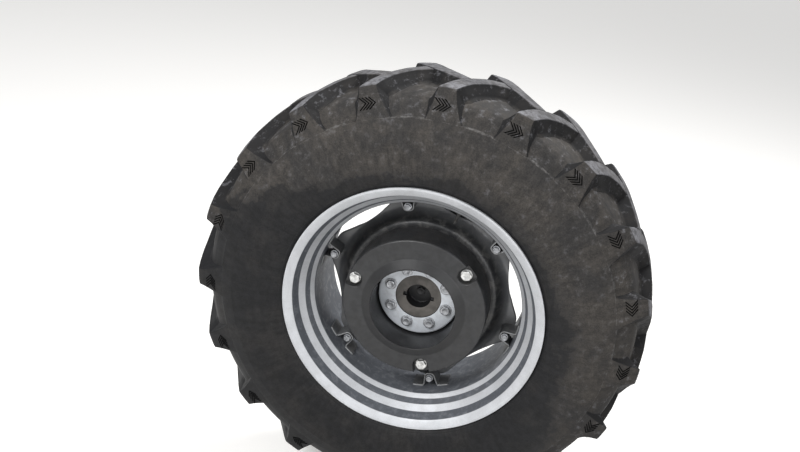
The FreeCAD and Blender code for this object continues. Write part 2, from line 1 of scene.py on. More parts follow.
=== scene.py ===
# %% [markdown]
# # A tractor's rear wheel on its axle end
#
# A big lugged tyre sits on a rolled steel rim. Six strap loops are welded in the rim and carry a
# pressed disc. A cast ring weight and eight bolts hold the disc on the flange of the axle shaft, and
# the shaft turns in a cast housing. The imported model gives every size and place; this script dresses
# it. Lengths below are in millimetres until a mesh is made, and depths count inwards along Y from
# the outer plane of the rim.

# %% Load the frame
import math

import bmesh
import bpy
from mathutils import Matrix, Vector


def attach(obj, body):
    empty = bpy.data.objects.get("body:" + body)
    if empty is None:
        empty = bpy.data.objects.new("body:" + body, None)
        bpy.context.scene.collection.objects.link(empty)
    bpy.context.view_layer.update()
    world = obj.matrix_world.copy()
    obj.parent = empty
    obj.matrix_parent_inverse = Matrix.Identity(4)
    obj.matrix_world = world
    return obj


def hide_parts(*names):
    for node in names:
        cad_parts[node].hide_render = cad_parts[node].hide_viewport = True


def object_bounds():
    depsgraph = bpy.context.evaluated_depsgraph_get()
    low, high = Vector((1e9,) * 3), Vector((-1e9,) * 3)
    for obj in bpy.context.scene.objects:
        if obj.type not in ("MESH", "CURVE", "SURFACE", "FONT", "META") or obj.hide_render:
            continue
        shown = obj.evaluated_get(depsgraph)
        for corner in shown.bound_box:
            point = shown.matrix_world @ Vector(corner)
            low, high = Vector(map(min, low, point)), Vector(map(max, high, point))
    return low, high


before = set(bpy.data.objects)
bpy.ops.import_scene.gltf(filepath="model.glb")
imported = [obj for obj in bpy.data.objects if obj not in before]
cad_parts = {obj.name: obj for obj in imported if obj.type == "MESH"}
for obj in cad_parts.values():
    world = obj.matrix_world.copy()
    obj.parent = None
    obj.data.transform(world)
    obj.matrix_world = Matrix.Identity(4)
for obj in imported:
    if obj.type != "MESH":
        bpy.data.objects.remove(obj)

cad_box = [list(corner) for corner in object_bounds()]
print("CAD box in metres:", [[round(value, 3) for value in corner] for corner in cad_box])

# %% [markdown]
# ## Round things
#
# Nearly every piece is round about the axle, so a point is easiest to give as a radius, a depth and
# an angle. The angle runs from forwards (+X) to up (+Z). A lathe outline is a list of corners, and
# each corner has its own rounding, because pressed, cast and moulded edges are never sharp.

# %% Places and outlines
REACH = 595          # from the rim's outer plane to the housing's mounting face
MIDDLE = 180.5       # depth of the tyre's centre plane
BOLT_ANGLE = 44.6    # the first rim bolt


def at(radius, depth, angle=0.0):
    """The place, in metres, at that radius, depth and angle in degrees."""
    turn = math.radians(angle)
    return Vector((radius * math.cos(turn), depth - REACH, radius * math.sin(turn))) / 1000


def rounded(corners, closed=False, step=18):
    """Points along an outline of (across, up, rounding) corners, each corner turned into an arc."""
    points = []
    for i, (across, up, rounding) in enumerate(corners):
        here = Vector((across, up))
        ends = not closed and i in (0, len(corners) - 1)
        if not rounding or ends:
            points.append(here)
            continue
        before = (Vector(corners[i - 1][:2]) - here)
        after = (Vector(corners[(i + 1) % len(corners)][:2]) - here)
        half = before.angle(after) / 2
        reach = min(rounding / math.tan(half), 0.49 * before.length, 0.49 * after.length)
        radius = reach * math.tan(half)
        centre = here + (before.normalized() + after.normalized()).normalized() * (radius / math.sin(half))
        start = here + before.normalized() * reach - centre
        turn = math.pi - 2 * half
        sign = 1 if before.cross(after) < 0 else -1
        count = max(2, round(math.degrees(turn) / step))
        for k in range(count + 1):
            points.append(centre + Matrix.Rotation(sign * turn * k / count, 2) @ start)
    return [tuple(point) for point in points]


print("the weight's first bolt is at", [round(value, 3) for value in at(201.9, 50.4, 44.7)])

# %% [markdown]
# ## From points to a mesh
#
# Every mesh here is made from rings of points joined by four-sided faces. A ring may be closed on
# itself, and so may the row of rings. Normals are made to point outwards afterwards. Edges that bend
# by more than a set angle stay crisp, and the rest is shaded smooth.

# %% Meshes from rings
def mesh_of(name, points, faces, crisp=38):
    """A mesh with its normals outwards, smooth but for its crisp edges."""
    mesh = bpy.data.meshes.new(name)
    mesh.from_pydata(points, [], faces)
    shape = bmesh.new()
    shape.from_mesh(mesh)
    bmesh.ops.remove_doubles(shape, verts=shape.verts, dist=2e-6)
    bmesh.ops.dissolve_degenerate(shape, edges=shape.edges, dist=1e-6)
    bmesh.ops.recalc_face_normals(shape, faces=shape.faces)
    shape.to_mesh(mesh)
    shape.free()
    mesh.polygons.foreach_set("use_smooth", [True] * len(mesh.polygons))
    mesh.set_sharp_from_angle(angle=math.radians(crisp))
    return mesh


def rings_of(rings, round_rings=True, round_rows=False, caps=True):
    """Points and faces of rings joined in turn; caps close the first and the last ring."""
    width = len(rings[0])
    points = [point for ring in rings for point in ring]
    faces = []
    for row in range(len(rings) if round_rows else len(rings) - 1):
        here, there = row * width, (row + 1) % len(rings) * width
        for i in range(width if round_rings else width - 1):
            j = (i + 1) % width
            faces.append((here + i, here + j, there + j, there + i))
    if caps and not round_rows:
        faces += [tuple(range(width))[::-1], tuple(range((len(rings) - 1) * width, len(rings) * width))]
    return points, faces


def joined(*parts):
    """Several sets of points and faces as one."""
    points, faces = [], []
    for more_points, more_faces in parts:
        faces += [tuple(i + len(points) for i in face) for face in more_faces]
        points += more_points
    return points, faces


def lathe(outline, count, closed=True, centre=None):
    """Turn (radius, depth) points round the axle, or round another line parallel to it."""
    middle = centre or (0, 0)
    rings = []
    for radius, depth in outline:
        rings.append([Vector((middle[0] + radius * math.cos(2 * math.pi * i / count), depth - REACH,
                              middle[1] + radius * math.sin(2 * math.pi * i / count))) / 1000
                      for i in range(count)])
    return rings_of(rings, round_rows=closed)


def object_of(name, mesh):
    """An object at the origin for that mesh."""
    made = bpy.data.objects.new(name, mesh)
    bpy.context.scene.collection.objects.link(made)
    return made


print("rings of", len(lathe([(10, 0), (10, 5)], 12, closed=False)[0]), "points make a plain pin")

# %% [markdown]
# ## Copies round the axle
#
# Lugs, loops and bolts repeat round a circle, which is what Geometry Nodes are good at: one tree
# puts copies of the piece on points round the axle. Its inputs are the count, the circle, the first
# angle and how much each copy may be turned by chance about its own axis, because nobody lines up
# bolt heads. The seed is fixed. The tree ends in real faces with a material, so the result can be
# kept as a plain mesh.

# %% Words for building node trees
def add(tree, kind, inputs=None, **settings):
    """A new node; an input is given by name or place, as a value or as another node's output."""
    made = tree.nodes.new(kind)
    for name, value in settings.items():
        setattr(made, name, value)
    for key, value in (inputs or {}).items():
        if isinstance(value, bpy.types.NodeSocket):
            tree.links.new(value, made.inputs[key])
        else:
            made.inputs[key].default_value = value
    return made


def sum_of(tree, operation, *values):
    """The output of a Math node."""
    return add(tree, "ShaderNodeMath", dict(enumerate(values)), operation=operation).outputs[0]


# %% The tree that copies round the axle
def make_ring_tree():
    """Named inputs, copies on points round the axle, real faces and a material."""
    tree = bpy.data.node_groups.new("Copies round the axle", "GeometryNodeTree")
    for name, kind in (("Piece", "Geometry"), ("Count", "Int"), ("Circle", "Float"), ("First angle", "Float"),
                       ("Chance turn", "Float"), ("Seed", "Int"), ("Finish", "Material")):
        tree.interface.new_socket(name, in_out="INPUT", socket_type="NodeSocket" + kind)
    tree.interface.new_socket("Copies", in_out="OUTPUT", socket_type="NodeSocketGeometry")
    given = tree.nodes.new("NodeGroupInput").outputs
    row = add(tree, "GeometryNodeMeshLine", {"Count": given["Count"], "Offset": (0, 0, 0)})
    index = tree.nodes.new("GeometryNodeInputIndex").outputs[0]
    share = sum_of(tree, "DIVIDE", index, given["Count"])
    angle = sum_of(tree, "ADD", sum_of(tree, "MULTIPLY", share, 2 * math.pi), given["First angle"])
    across = sum_of(tree, "MULTIPLY", sum_of(tree, "COSINE", angle), given["Circle"])
    up = sum_of(tree, "MULTIPLY", sum_of(tree, "SINE", angle), given["Circle"])
    spot = add(tree, "ShaderNodeCombineXYZ", {"X": across, "Z": up})
    placed = add(tree, "GeometryNodeSetPosition", {"Geometry": row.outputs[0], "Position": spot.outputs[0]})
    least = sum_of(tree, "MULTIPLY", given["Chance turn"], -1.0)
    chance = add(tree, "FunctionNodeRandomValue", {2: least, 3: given["Chance turn"], 7: index,
                                                   8: given["Seed"]}, data_type="FLOAT").outputs[1]
    turn = add(tree, "ShaderNodeCombineXYZ", {"Y": sum_of(tree, "SUBTRACT", chance, angle)})
    turned = add(tree, "FunctionNodeEulerToRotation", {0: turn.outputs[0]})
    copies = add(tree, "GeometryNodeInstanceOnPoints", {
        "Points": placed.outputs[0], "Instance": given["Piece"], "Rotation": turned.outputs[0]})
    real = add(tree, "GeometryNodeRealizeInstances", {0: copies.outputs[0]})
    coated = add(tree, "GeometryNodeSetMaterial", {"Geometry": real.outputs[0], "Material": given["Finish"]})
    tree.links.new(coated.outputs[0], tree.nodes.new("NodeGroupOutput").inputs[0])
    return tree


RING_TREE = make_ring_tree()
print("tree inputs:", [item.name for item in RING_TREE.interface.items_tree if item.in_out == "INPUT"])


# %% Use the tree and keep the result
def run_tree(piece, tree, values):
    """Run a tree on a piece with those input values and keep what it makes as a plain mesh."""
    modifier = piece.modifiers.new("tree", "NODES")
    modifier.node_group = tree
    for item in tree.interface.items_tree:
        if item.in_out == "INPUT" and item.name in values:
            modifier[item.identifier] = values[item.name]
    return keep_shape(piece)


def keep_shape(piece):
    """Replace a piece's mesh by what its modifiers make, and take the modifiers off."""
    graph = bpy.context.evaluated_depsgraph_get()
    mesh = bpy.data.meshes.new_from_object(piece.evaluated_get(graph), depsgraph=graph)
    piece.modifiers.clear()
    piece.data = mesh
    return piece


def copies(name, mesh, finish, count, first, circle=0.0, chance=0.0, seed=0):
    """The piece repeated round the axle. first and chance are degrees, circle is millimetres."""
    return run_tree(object_of(name, mesh), RING_TREE, {
        "Count": count, "Circle": circle / 1000, "First angle": math.radians(first),
        "Chance turn": math.radians(chance), "Seed": seed, "Finish": finish})


# %% [markdown]
# ## Finishes
#
# A finish starts from one colour and is then broken up the way use does it: dust settles, edges
# wear, paint has an orange-peel skin and castings are grainy. Some finishes also carry painted shade
# where parts lie in shade. All patterns are read from the object's own coordinates, so they stay in
# place when the wheel turns. The distance from the axle is worked out in the material, because dust,
# wear and the painted shade on a wheel follow it.

# %% Words for building materials
def new_finish(name, **constants):
    """A material with its shader; what is the same all over is set on the shader's own sockets."""
    made = bpy.data.materials.new(name)
    made.use_nodes = True
    shader = made.node_tree.nodes["Principled BSDF"]
    for key, value in constants.items():
        shader.inputs[key.replace("_", " ")].default_value = value
    place = add(made.node_tree, "ShaderNodeTexCoord").outputs["Object"]
    return made, made.node_tree, shader, place


def speckle(tree, place, scale, detail=3.0, roughness=0.55, distortion=0.0):
    """Noise from 0 to 1; scale is in cells per metre."""
    return add(tree, "ShaderNodeTexNoise", {"Vector": place, "Scale": scale, "Detail": detail,
                                            "Roughness": roughness, "Distortion": distortion}).outputs[0]


def ramp(tree, value, start, end, low=0.0, high=1.0):
    """A soft step of the value from start to end."""
    return add(tree, "ShaderNodeMapRange", {0: value, 1: start, 2: end, 3: low, 4: high},
               interpolation_type="SMOOTHSTEP").outputs[0]


def blend(tree, share, first, second):
    """One colour going over to another."""
    return add(tree, "ShaderNodeMix", {0: share, 6: first, 7: second}, data_type="RGBA").outputs[2]


def grain(tree, shader, height, distance, strength=1.0, under=None):
    """Small relief of that many metres on the shader's surface."""
    inputs = {"Strength": strength, "Distance": distance, "Height": height}
    if under:
        inputs["Normal"] = under
    made = add(tree, "ShaderNodeBump", inputs).outputs[0]
    tree.links.new(made, shader.inputs["Normal"])
    return made


def link(tree, output, shader, name):
    """Join an output to one of the shader's inputs."""
    tree.links.new(output, shader.inputs[name])


def axle_distance(tree, place):
    """Distance from the axle in metres, and the point's own coordinates."""
    parts = add(tree, "ShaderNodeSeparateXYZ", {0: place}).outputs
    square = sum_of(tree, "ADD", sum_of(tree, "MULTIPLY", parts[0], parts[0]),
                    sum_of(tree, "MULTIPLY", parts[2], parts[2]))
    return sum_of(tree, "SQRT", square), parts


# %% [markdown]
# ### Rubber
#
# The tyre is clean and nearly black by the rim and on the lower left, and brownish dust lies on the
# rest, with a ragged border. The dust's border is a radius that grows from the upper right to the
# lower left, broken up by noise. The tops of the lugs are scuffed to a light grey, and their flanks
# are painted nearly black as painted shade.

# %% Tyre rubber
def turned_normal(tree, radius, parts):
    """How much the surface faces away from the axle, and how much it faces round the wheel."""
    world = add(tree, "ShaderNodeNewGeometry").outputs["Normal"]
    own = add(tree, "ShaderNodeVectorTransform", {0: world}, vector_type="NORMAL", convert_from="WORLD",
              convert_to="OBJECT").outputs[0]
    faces = add(tree, "ShaderNodeSeparateXYZ", {0: own}).outputs
    away = sum_of(tree, "ADD", sum_of(tree, "MULTIPLY", faces[0], parts[0]),
                  sum_of(tree, "MULTIPLY", faces[2], parts[2]))
    along = sum_of(tree, "SUBTRACT", sum_of(tree, "MULTIPLY", faces[2], parts[0]),
                   sum_of(tree, "MULTIPLY", faces[0], parts[2]))
    return sum_of(tree, "DIVIDE", away, radius), sum_of(tree, "ABSOLUTE", sum_of(tree, "DIVIDE", along, radius))


def make_rubber(name, ledge):
    """Dusty rubber with painted shade on the lug flanks; ledge adds the rubbed line along the foot of the pockets."""
    finish, tree, shader, place = new_finish(name, Specular_IOR_Level=0.20, IOR=1.52)
    radius, parts = axle_distance(tree, place)
    away, along = turned_normal(tree, radius, parts)
    patches = speckle(tree, place, 8.0, 6.0, 0.66, 0.3)
    mottle = speckle(tree, place, 45.0, 8.0, 0.72)
    fine = speckle(tree, place, 260.0, 4.0, 0.65)
    # Faint streaks along the spokes: noise that changes fast round the wheel and slowly along it
    spoke = add(tree, "ShaderNodeCombineXYZ", {
        "X": sum_of(tree, "MULTIPLY", sum_of(tree, "DIVIDE", parts[0], radius), 34.0),
        "Y": sum_of(tree, "MULTIPLY", sum_of(tree, "ADD", radius, parts[1]), 14.0),
        "Z": sum_of(tree, "MULTIPLY", sum_of(tree, "DIVIDE", parts[2], radius), 34.0)}).outputs[0]
    streaks = speckle(tree, spoke, 1.0, 6.0, 0.66)

    def facing(across, up):
        """1 where the spoke points that way, -1 where it points the other way."""
        towards = sum_of(tree, "ADD", sum_of(tree, "MULTIPLY", parts[0], across),
                         sum_of(tree, "MULTIPLY", parts[2], up))
        return sum_of(tree, "DIVIDE", towards, radius)

    border = sum_of(tree, "SUBTRACT", ramp(tree, facing(0.34, 0.94), 0.80, -0.70, 0.434, 0.760),
                    ramp(tree, facing(0.71, -0.71), 0.60, 0.95, 0.0, 0.11))
    ragged = sum_of(tree, "ADD", sum_of(tree, "MULTIPLY", sum_of(tree, "SUBTRACT", patches, 0.5), 0.26),
                    sum_of(tree, "MULTIPLY", sum_of(tree, "SUBTRACT", mottle, 0.5), 0.10))
    dusty = ramp(tree, sum_of(tree, "SUBTRACT", radius, sum_of(tree, "ADD", border, ragged)), -0.010, 0.030)
    texture = sum_of(tree, "ADD", sum_of(tree, "MULTIPLY", streaks, 0.30),
                     sum_of(tree, "ADD", sum_of(tree, "MULTIPLY", mottle, 0.40), sum_of(tree, "MULTIPLY", fine, 0.30)))
    thickness = ramp(tree, texture, 0.38, 0.60, 0.30, 1.0)
    film = sum_of(tree, "MULTIPLY", ramp(tree, patches, 0.42, 0.66), 0.18)
    dust = sum_of(tree, "MULTIPLY", sum_of(tree, "MAXIMUM", dusty, film), thickness)
    clean = blend(tree, ramp(tree, texture, 0.38, 0.62), (0.004, 0.0041, 0.0046, 1), (0.014, 0.014, 0.0155, 1))
    tint = blend(tree, ramp(tree, patches, 0.35, 0.65), (0.047, 0.0445, 0.043, 1), (0.078, 0.070, 0.062, 1))
    body = blend(tree, dust, clean, tint)
    if ledge:
        rubbed = sum_of(tree, "MULTIPLY", ramp(tree, sum_of(tree, "ABSOLUTE", sum_of(tree, "SUBTRACT", radius, 0.6125)),
                                               0.0026, 0.0012), sum_of(tree, "MULTIPLY", dusty,
                                                                      ramp(tree, mottle, 0.44, 0.60, 0.0, 0.6)))
        body = blend(tree, rubbed, body, (0.155, 0.150, 0.145, 1))
    # Painted shade: lug flanks that face round the wheel, out by the pockets, go nearly black.
    shaded_flank = sum_of(tree, "MULTIPLY", ramp(tree, along, 0.26, 0.55), ramp(tree, radius, 0.606, 0.622, 0.0, 0.85))
    body = blend(tree, shaded_flank, body, (0.0085, 0.0085, 0.0095, 1))
    scuffed = sum_of(tree, "MULTIPLY", sum_of(tree, "MULTIPLY", ramp(tree, away, 0.62, 0.86), ramp(tree, radius, 0.690, 0.699)),
                     ramp(tree, mottle, 0.36, 0.62, 0.22, 0.95))
    outboard = sum_of(tree, "ABSOLUTE", sum_of(tree, "ADD", parts[1], (REACH - MIDDLE) / 1000))
    scuffed = sum_of(tree, "MULTIPLY", scuffed, ramp(tree, outboard, 0.060, 0.125, 0.60, 1.0))
    in_pocket = ramp(tree, radius, 0.612, 0.620, 0.35, 0.75)
    scattered = sum_of(tree, "MULTIPLY", ramp(tree, mottle, 0.53, 0.76), sum_of(tree, "MULTIPLY", dusty, in_pocket))
    colour = blend(tree, sum_of(tree, "MULTIPLY", sum_of(tree, "MAXIMUM", scuffed, scattered), 0.80), body,
                   (0.260, 0.260, 0.280, 1))
    link(tree, colour, shader, "Base Color")
    link(tree, ramp(tree, dust, 0.0, 1.0, 0.55, 0.88), shader, "Roughness")
    coarse = grain(tree, shader, mottle, 0.0008, 0.4)
    grain(tree, shader, fine, 0.0004, 0.6, coarse)
    return finish


def make_mark_rubber():
    """The same rubber inside the moulded marks, where nothing rubs and little dust stays."""
    finish, tree, shader, place = new_finish("rubber in the marks", Specular_IOR_Level=0.06, Roughness=0.9)
    noise = speckle(tree, place, 120.0)
    link(tree, blend(tree, noise, (0.001, 0.001, 0.001, 1), (0.004, 0.004, 0.004, 1)), shader, "Base Color")
    grain(tree, shader, noise, 0.0003)
    return finish


RUBBER, LUG_RUBBER = make_rubber("dusty rubber", True), make_rubber("dusty lug rubber", False)
MARK_RUBBER = make_mark_rubber()
print("finishes so far:", RUBBER.name, "and", LUG_RUBBER.name, "and", MARK_RUBBER.name)


# %% [markdown]
# ### Paints and metals
#
# Rim and disc have silver paint: part metallic, with a fine sparkle, an orange-peel skin and a film
# of dust. The disc and the loops take that silver darkened as painted shade, and the paint adds painted
# shade on the rim's steps. The weight, the shaft's end and the housing are castings with a coarse skin,
# and the weight's bore and the shaft's recess get painted shade. The bolts are zinc plated, and a darker
# copy of the zinc is painted shade. One function makes each kind of surface, and the values that differ
# are its arguments.

# %% Paint and castings
def make_paint(name, colour, metallic, roughness, dust, shade_colour, hub=None, sparkle=0.12, peel=0.00025):
    """Sprayed paint on steel: dust lies in it, and painted shade darkens what doesn't face outboard or inboard; hub
    paints the disc in shade inside its seat and keeps the hub face lit silver.
    """
    finish, tree, shader, place = new_finish(name, Coat_Weight=0.15, Coat_Roughness=0.25)
    radius, parts = axle_distance(tree, place)
    clouds = speckle(tree, place, 9.0, 4.0, 0.6)
    flakes = speckle(tree, place, 1400.0, 1.0)
    skin = speckle(tree, place, 420.0, 2.0)
    film = speckle(tree, place, 38.0, 6.0, 0.72, 0.6)
    tone = sum_of(tree, "ADD", sum_of(tree, "MULTIPLY", ramp(tree, flakes, 0.3, 0.7), sparkle),
                  sum_of(tree, "MULTIPLY", ramp(tree, clouds, 0.3, 0.7), 0.10))
    darker = tuple(value * 0.86 for value in colour) + (1,)
    lighter = tuple(min(1.0, value * 1.16) for value in colour) + (1,)
    paint = blend(tree, ramp(tree, tone, 0.0, 0.22), darker, lighter)
    if hub:
        # Painted shade: inside its weight seat the disc goes to the shade colour, and the hub face keeps the lit
        # silver.
        paint = blend(tree, ramp(tree, radius, 0.272, 0.250), paint, shade_colour + (1,))
        paint = blend(tree, ramp(tree, radius, 0.136, 0.131), paint, hub + (1,))
    lying = sum_of(tree, "MULTIPLY", ramp(tree, film, 0.42, 0.72), dust)
    # Painted shade: inside the rim, what faces neither outboard nor inboard goes over to the shade colour, with a
    # ragged edge.
    facing = add(tree, "ShaderNodeSeparateXYZ", {0: add(tree, "ShaderNodeNewGeometry").outputs["Normal"]}).outputs[1]
    turned_in = ramp(tree, sum_of(tree, "ABSOLUTE", facing), 0.64, 0.44)
    inside = sum_of(tree, "MULTIPLY", turned_in, ramp(tree, radius, 0.402, 0.396))
    ragged = sum_of(tree, "MULTIPLY", inside, ramp(tree, film, 0.2, 0.6, 0.72, 1.0))
    shaded_paint = blend(tree, ragged, paint, shade_colour + (1,))
    link(tree, blend(tree, lying, shaded_paint, (0.26, 0.25, 0.235, 1)), shader, "Base Color")
    link(tree, ramp(tree, sum_of(tree, "MAXIMUM", lying, sum_of(tree, "MULTIPLY", ragged, 0.4)), 0.0, 0.5,
                    roughness, roughness + 0.3), shader, "Roughness")
    link(tree, ramp(tree, ragged, 0.0, 1.0, metallic, metallic * 0.4), shader, "Metallic")
    grain(tree, shader, skin, peel, 0.5)
    return finish


def make_casting(name, colour, roughness, dust, dust_colour=(0.17, 0.15, 0.125), coarse=0.0011, recess=False,
                 cone=False):
    """A painted or bare casting with a sandy skin; cone and recess add painted shade in the weight's bore and the
    shaft's recess.
    """
    finish, tree, shader, place = new_finish(name, Specular_IOR_Level=0.4)
    sand = speckle(tree, place, 330.0, 5.0, 0.7)
    lumps = speckle(tree, place, 42.0, 3.0)
    film = speckle(tree, place, 16.0, 6.0, 0.7, 0.5)
    dark = tuple(value * 0.75 for value in colour) + (1,)
    light = tuple(value * 1.25 for value in colour) + (1,)
    skin = blend(tree, ramp(tree, lumps, 0.3, 0.7), dark, light)
    up = add(tree, "ShaderNodeSeparateXYZ", {0: add(tree, "ShaderNodeNewGeometry").outputs["Normal"]}).outputs[2]
    settled = sum_of(tree, "ADD", ramp(tree, up, -0.2, 0.9, 0.35, 1.0), -0.15)
    lying = sum_of(tree, "MULTIPLY", sum_of(tree, "MULTIPLY", ramp(tree, film, 0.35, 0.7), settled), dust)
    body = blend(tree, lying, skin, dust_colour + (1,))
    # Painted shade: the weight's bore cone goes darker towards the axle, nearly to black.
    if cone:
        radius, parts = axle_distance(tree, place)
        body = blend(tree, sum_of(tree, "MULTIPLY", ramp(tree, radius, 0.166, 0.160), 0.65), body, (0.004, 0.004, 0.005, 1))
    # Painted shade: the shaft's recess, and the end bolt standing in it, go nearly black.
    if recess:
        radius, parts = axle_distance(tree, place)
        inside = sum_of(tree, "MULTIPLY", ramp(tree, radius, 0.0512, 0.0502), ramp(tree, parts[1], -0.4640, -0.4615))
        body = blend(tree, inside, body, (0.010, 0.010, 0.011, 1))
    link(tree, body, shader, "Base Color")
    link(tree, ramp(tree, sand, 0.3, 0.7, roughness - 0.08, roughness + 0.08), shader, "Roughness")
    rough = grain(tree, shader, lumps, coarse, 0.4)
    grain(tree, shader, sand, coarse * 0.4, 0.7, rough)
    return finish


# %% Zinc and valve rubber
def make_plating(name, colour, roughness):
    """Plated or bare metal with stains and fine scratches."""
    finish, tree, shader, place = new_finish(name, Metallic=0.85)
    stains = speckle(tree, place, 95.0, 4.0, 0.6)
    scratches = speckle(tree, place, 900.0, 2.0)
    dull = tuple(value * 0.62 for value in colour) + (1,)
    link(tree, blend(tree, ramp(tree, stains, 0.35, 0.7), colour + (1,), dull), shader, "Base Color")
    link(tree, ramp(tree, stains, 0.3, 0.7, roughness, roughness + 0.25), shader, "Roughness")
    grain(tree, shader, scratches, 0.0001, 0.5)
    return finish


RIM_PAINT = make_paint("rim silver", (0.56, 0.57, 0.59), 0.30, 0.50, 0.15, (0.080, 0.088, 0.104))
# Painted shade: the disc's and the loops' silver is the rim's silver darkened.
SHADED_DISC_PAINT = make_paint("disc silver in painted shade", (0.13, 0.133, 0.138), 0.3, 0.42, 0.25, (0.018, 0.0185, 0.020),
                        hub=(0.62, 0.65, 0.69))
SHADED_LOOP_PAINT = make_paint("loop silver in painted shade", (0.26, 0.265, 0.27), 0.4, 0.45, 0.3, (0.060, 0.062, 0.066))
WEIGHT_SKIN = make_casting("weight paint", (0.024, 0.0245, 0.026), 0.40, 0.10, coarse=0.0006, cone=True)
SHAFT_SKIN = make_casting("shaft steel", (0.100, 0.092, 0.084), 0.50, 0.2, coarse=0.0005, recess=True)
HOUSING_SKIN = make_casting("housing paint", (0.030, 0.030, 0.032), 0.48, 0.6)
ZINC = make_plating("zinc", (0.66, 0.66, 0.65), 0.30)
# Painted shade: a darker copy of the zinc for the hub and rim bolts.
SHADED_ZINC = make_plating("zinc in painted shade", (0.42, 0.43, 0.45), 0.36)
VALVE_RUBBER = make_casting("valve rubber", (0.028, 0.028, 0.028), 0.7, 0.3, coarse=0.0003)
print("finishes:", len(bpy.data.materials))

# %% [markdown]
# ## Handing a piece over
#
# Each finished piece says which body it rides on and which nodes of the CAD model it stands for.

# %% Hand over
def hand_over(piece, body, slot, *nodes):
    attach(piece, body)
    if nodes:
        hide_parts(*nodes)
    triangles = sum(len(face.vertices) - 2 for face in piece.data.polygons)
    print(f"{piece.name}: {triangles} triangles")
    return piece


def coat(piece, finish):
    """Give a piece its only finish."""
    piece.data.materials.clear()
    piece.data.materials.append(finish)
    return piece


# %% [markdown]
# ## Carcass of the tyre
#
# Without its lugs the tyre is round, so a lathe outline makes it: bead, bulging sidewall, a crisp
# ledge where the pockets between the lugs end, the shoulder and the floor of the tread. It is one
# closed skin, hollow inside. One half is listed and the other is its mirror image.

# %% Carcass
SIDEWALL = [(381.6, 161.0, 3), (406.9, 170.0, 3), (409.0, 172.6, 0), (414.5, 175.6, 1), (418.5, 178.4, 0.8),
            (420.5, 178.0, 0.8), (424.0, 180.4, 0), (431, 183.2, 6), (450, 187.4, 20), (478, 189.7, 30),
            (512, 189.2, 30), (545, 185.6, 30), (575, 179.4, 25), (598, 170.6, 10), (611.8, 165.4, 1.2),
            (614.0, 157.0, 3), (622, 151.5, 8), (637, 143.0, 22), (650, 134.0, 22), (663.5, 119, 14),
            (669.5, 104, 20),
            (676, 60, 40), (678, 0, 0)]
CAVITY = [(644, 0, 0), (640, 96, 24), (610, 138, 30), (560, 160, 30), (500, 168, 30), (440, 158, 20),
          (404, 136, 8), (381.6, 122, 3)]


def both_sides(half):
    """A half outline from its bead out to the centre plane, carried on to the other bead."""
    return half + [(radius, -along, rounding) for radius, along, rounding in half[-2::-1]]


outline = both_sides(SIDEWALL)
outline += [(radius, -along, rounding) for radius, along, rounding in CAVITY[::-1]] + CAVITY[1:]
outline = [(radius, MIDDLE - along) for radius, along in rounded(outline, closed=True)]
carcass = coat(object_of("tyre_carcass", mesh_of("tyre_carcass", *lathe(outline, 228), crisp=45)), RUBBER)
hand_over(carcass, "wheel", "tyre", "tyre")

# %% [markdown]
# ## Lugs
#
# A lug runs from its nose at the middle of the tread, bends, and ends on the shoulder in a broad
# foot that flows into the sidewall. It is a skin laid over a spine: each row across the spine has
# a flat top, a worn edge, a drafted side and a hollow fillet down to the carcass. At the nose the
# same profile runs down its front. Nineteen copies a side are made by the tree; the far side's are
# mirror images, half a pitch on.

# %% Spine of a lug
# Top line from the nose out over the shoulder and down the end face: radius, distance out, rounding
TOP_LINE = [(713.0, -33, 0), (714.6, 0, 30), (713.6, 60, 40), (709.5, 100, 30), (703.5, 133.0, 11),
            (656, 149.2, 60), (611, 165.2, 20), (598.5, 169.8, 0), (590, 171.0, 0)]
# Distance out, angle of the spine, slant of the row across it, half widths to the lead and trail sides
SPINE = [(-33, -12.3, 48, 21, 21), (0, -8.2, 44, 22, 22), (30, -5.6, 38, 23.5, 23), (60, -3.5, 32, 25, 24),
         (90, -1.9, 20, 26, 25), (115, -0.8, 8, 27, 26), (134, 0, 0, 28, 28)]
# Share of the way down the end face, half widths to the lead and trail sides
END_FACE = [(0, 28, 28), (0.25, 33, 30.5), (0.5, 40, 35), (0.75, 49, 40), (1, 59, 46), (1.2, 64, 50)]
FLOOR = [(-60, 676), (0, 678), (60, 676), (104, 669.5), (122, 661)]
# Share of the way down the end face, radius and distance out of the pocket's floor behind it
POCKET_FLOOR = [(0, 661, 122), (0.25, 650, 134), (0.5, 638, 142.5), (0.75, 624, 150.5), (1, 613.5, 156.5),
                (1.1, 606, 160), (1.25, 595, 165)]
SIDE = [(-5, 0), (-1.6, 0.9), (0, 4)]    # worn edge: distance out from the top's edge, and down


def read_off(table, place, column):
    """Straight-line reading of a table by its first column."""
    if place <= table[0][0]:
        return table[0][column]
    for low, high in zip(table, table[1:]):
        if place <= high[0]:
            share = (place - low[0]) / (high[0] - low[0])
            return low[column] + (high[column] - low[column]) * share
    return table[-1][column]


def fine_line(corners, gap):
    """An outline's points with long stretches divided."""
    points = rounded(corners)
    result = [points[0]]
    for start, end in zip(points, points[1:]):
        count = max(1, round(math.dist(start, end) / gap))
        result += [tuple(Vector(start).lerp(Vector(end), (k + 1) / count)) for k in range(count)]
    return result


def side_profile(depth, draft):
    """How far out and how far down the side goes from the top's edge to the carcass and under it."""
    small = min(1.0, depth / 30)
    reach = draft * depth
    lower = [(reach * 0.45, depth * 0.45), (reach * 0.78, depth - 15 * small),
             (reach * 0.86 + 2.2 * small, depth - 7.5 * small), (reach + 4 * small, depth - 2.4 * small),
             (reach + 9 * small, depth + 0.6), (reach + 15 * small, depth + 7)]
    return [(out * small, down * small) for out, down in SIDE] + lower


print("side of a lug:", [(round(out), round(down)) for out, down in side_profile(38, 0.36)])


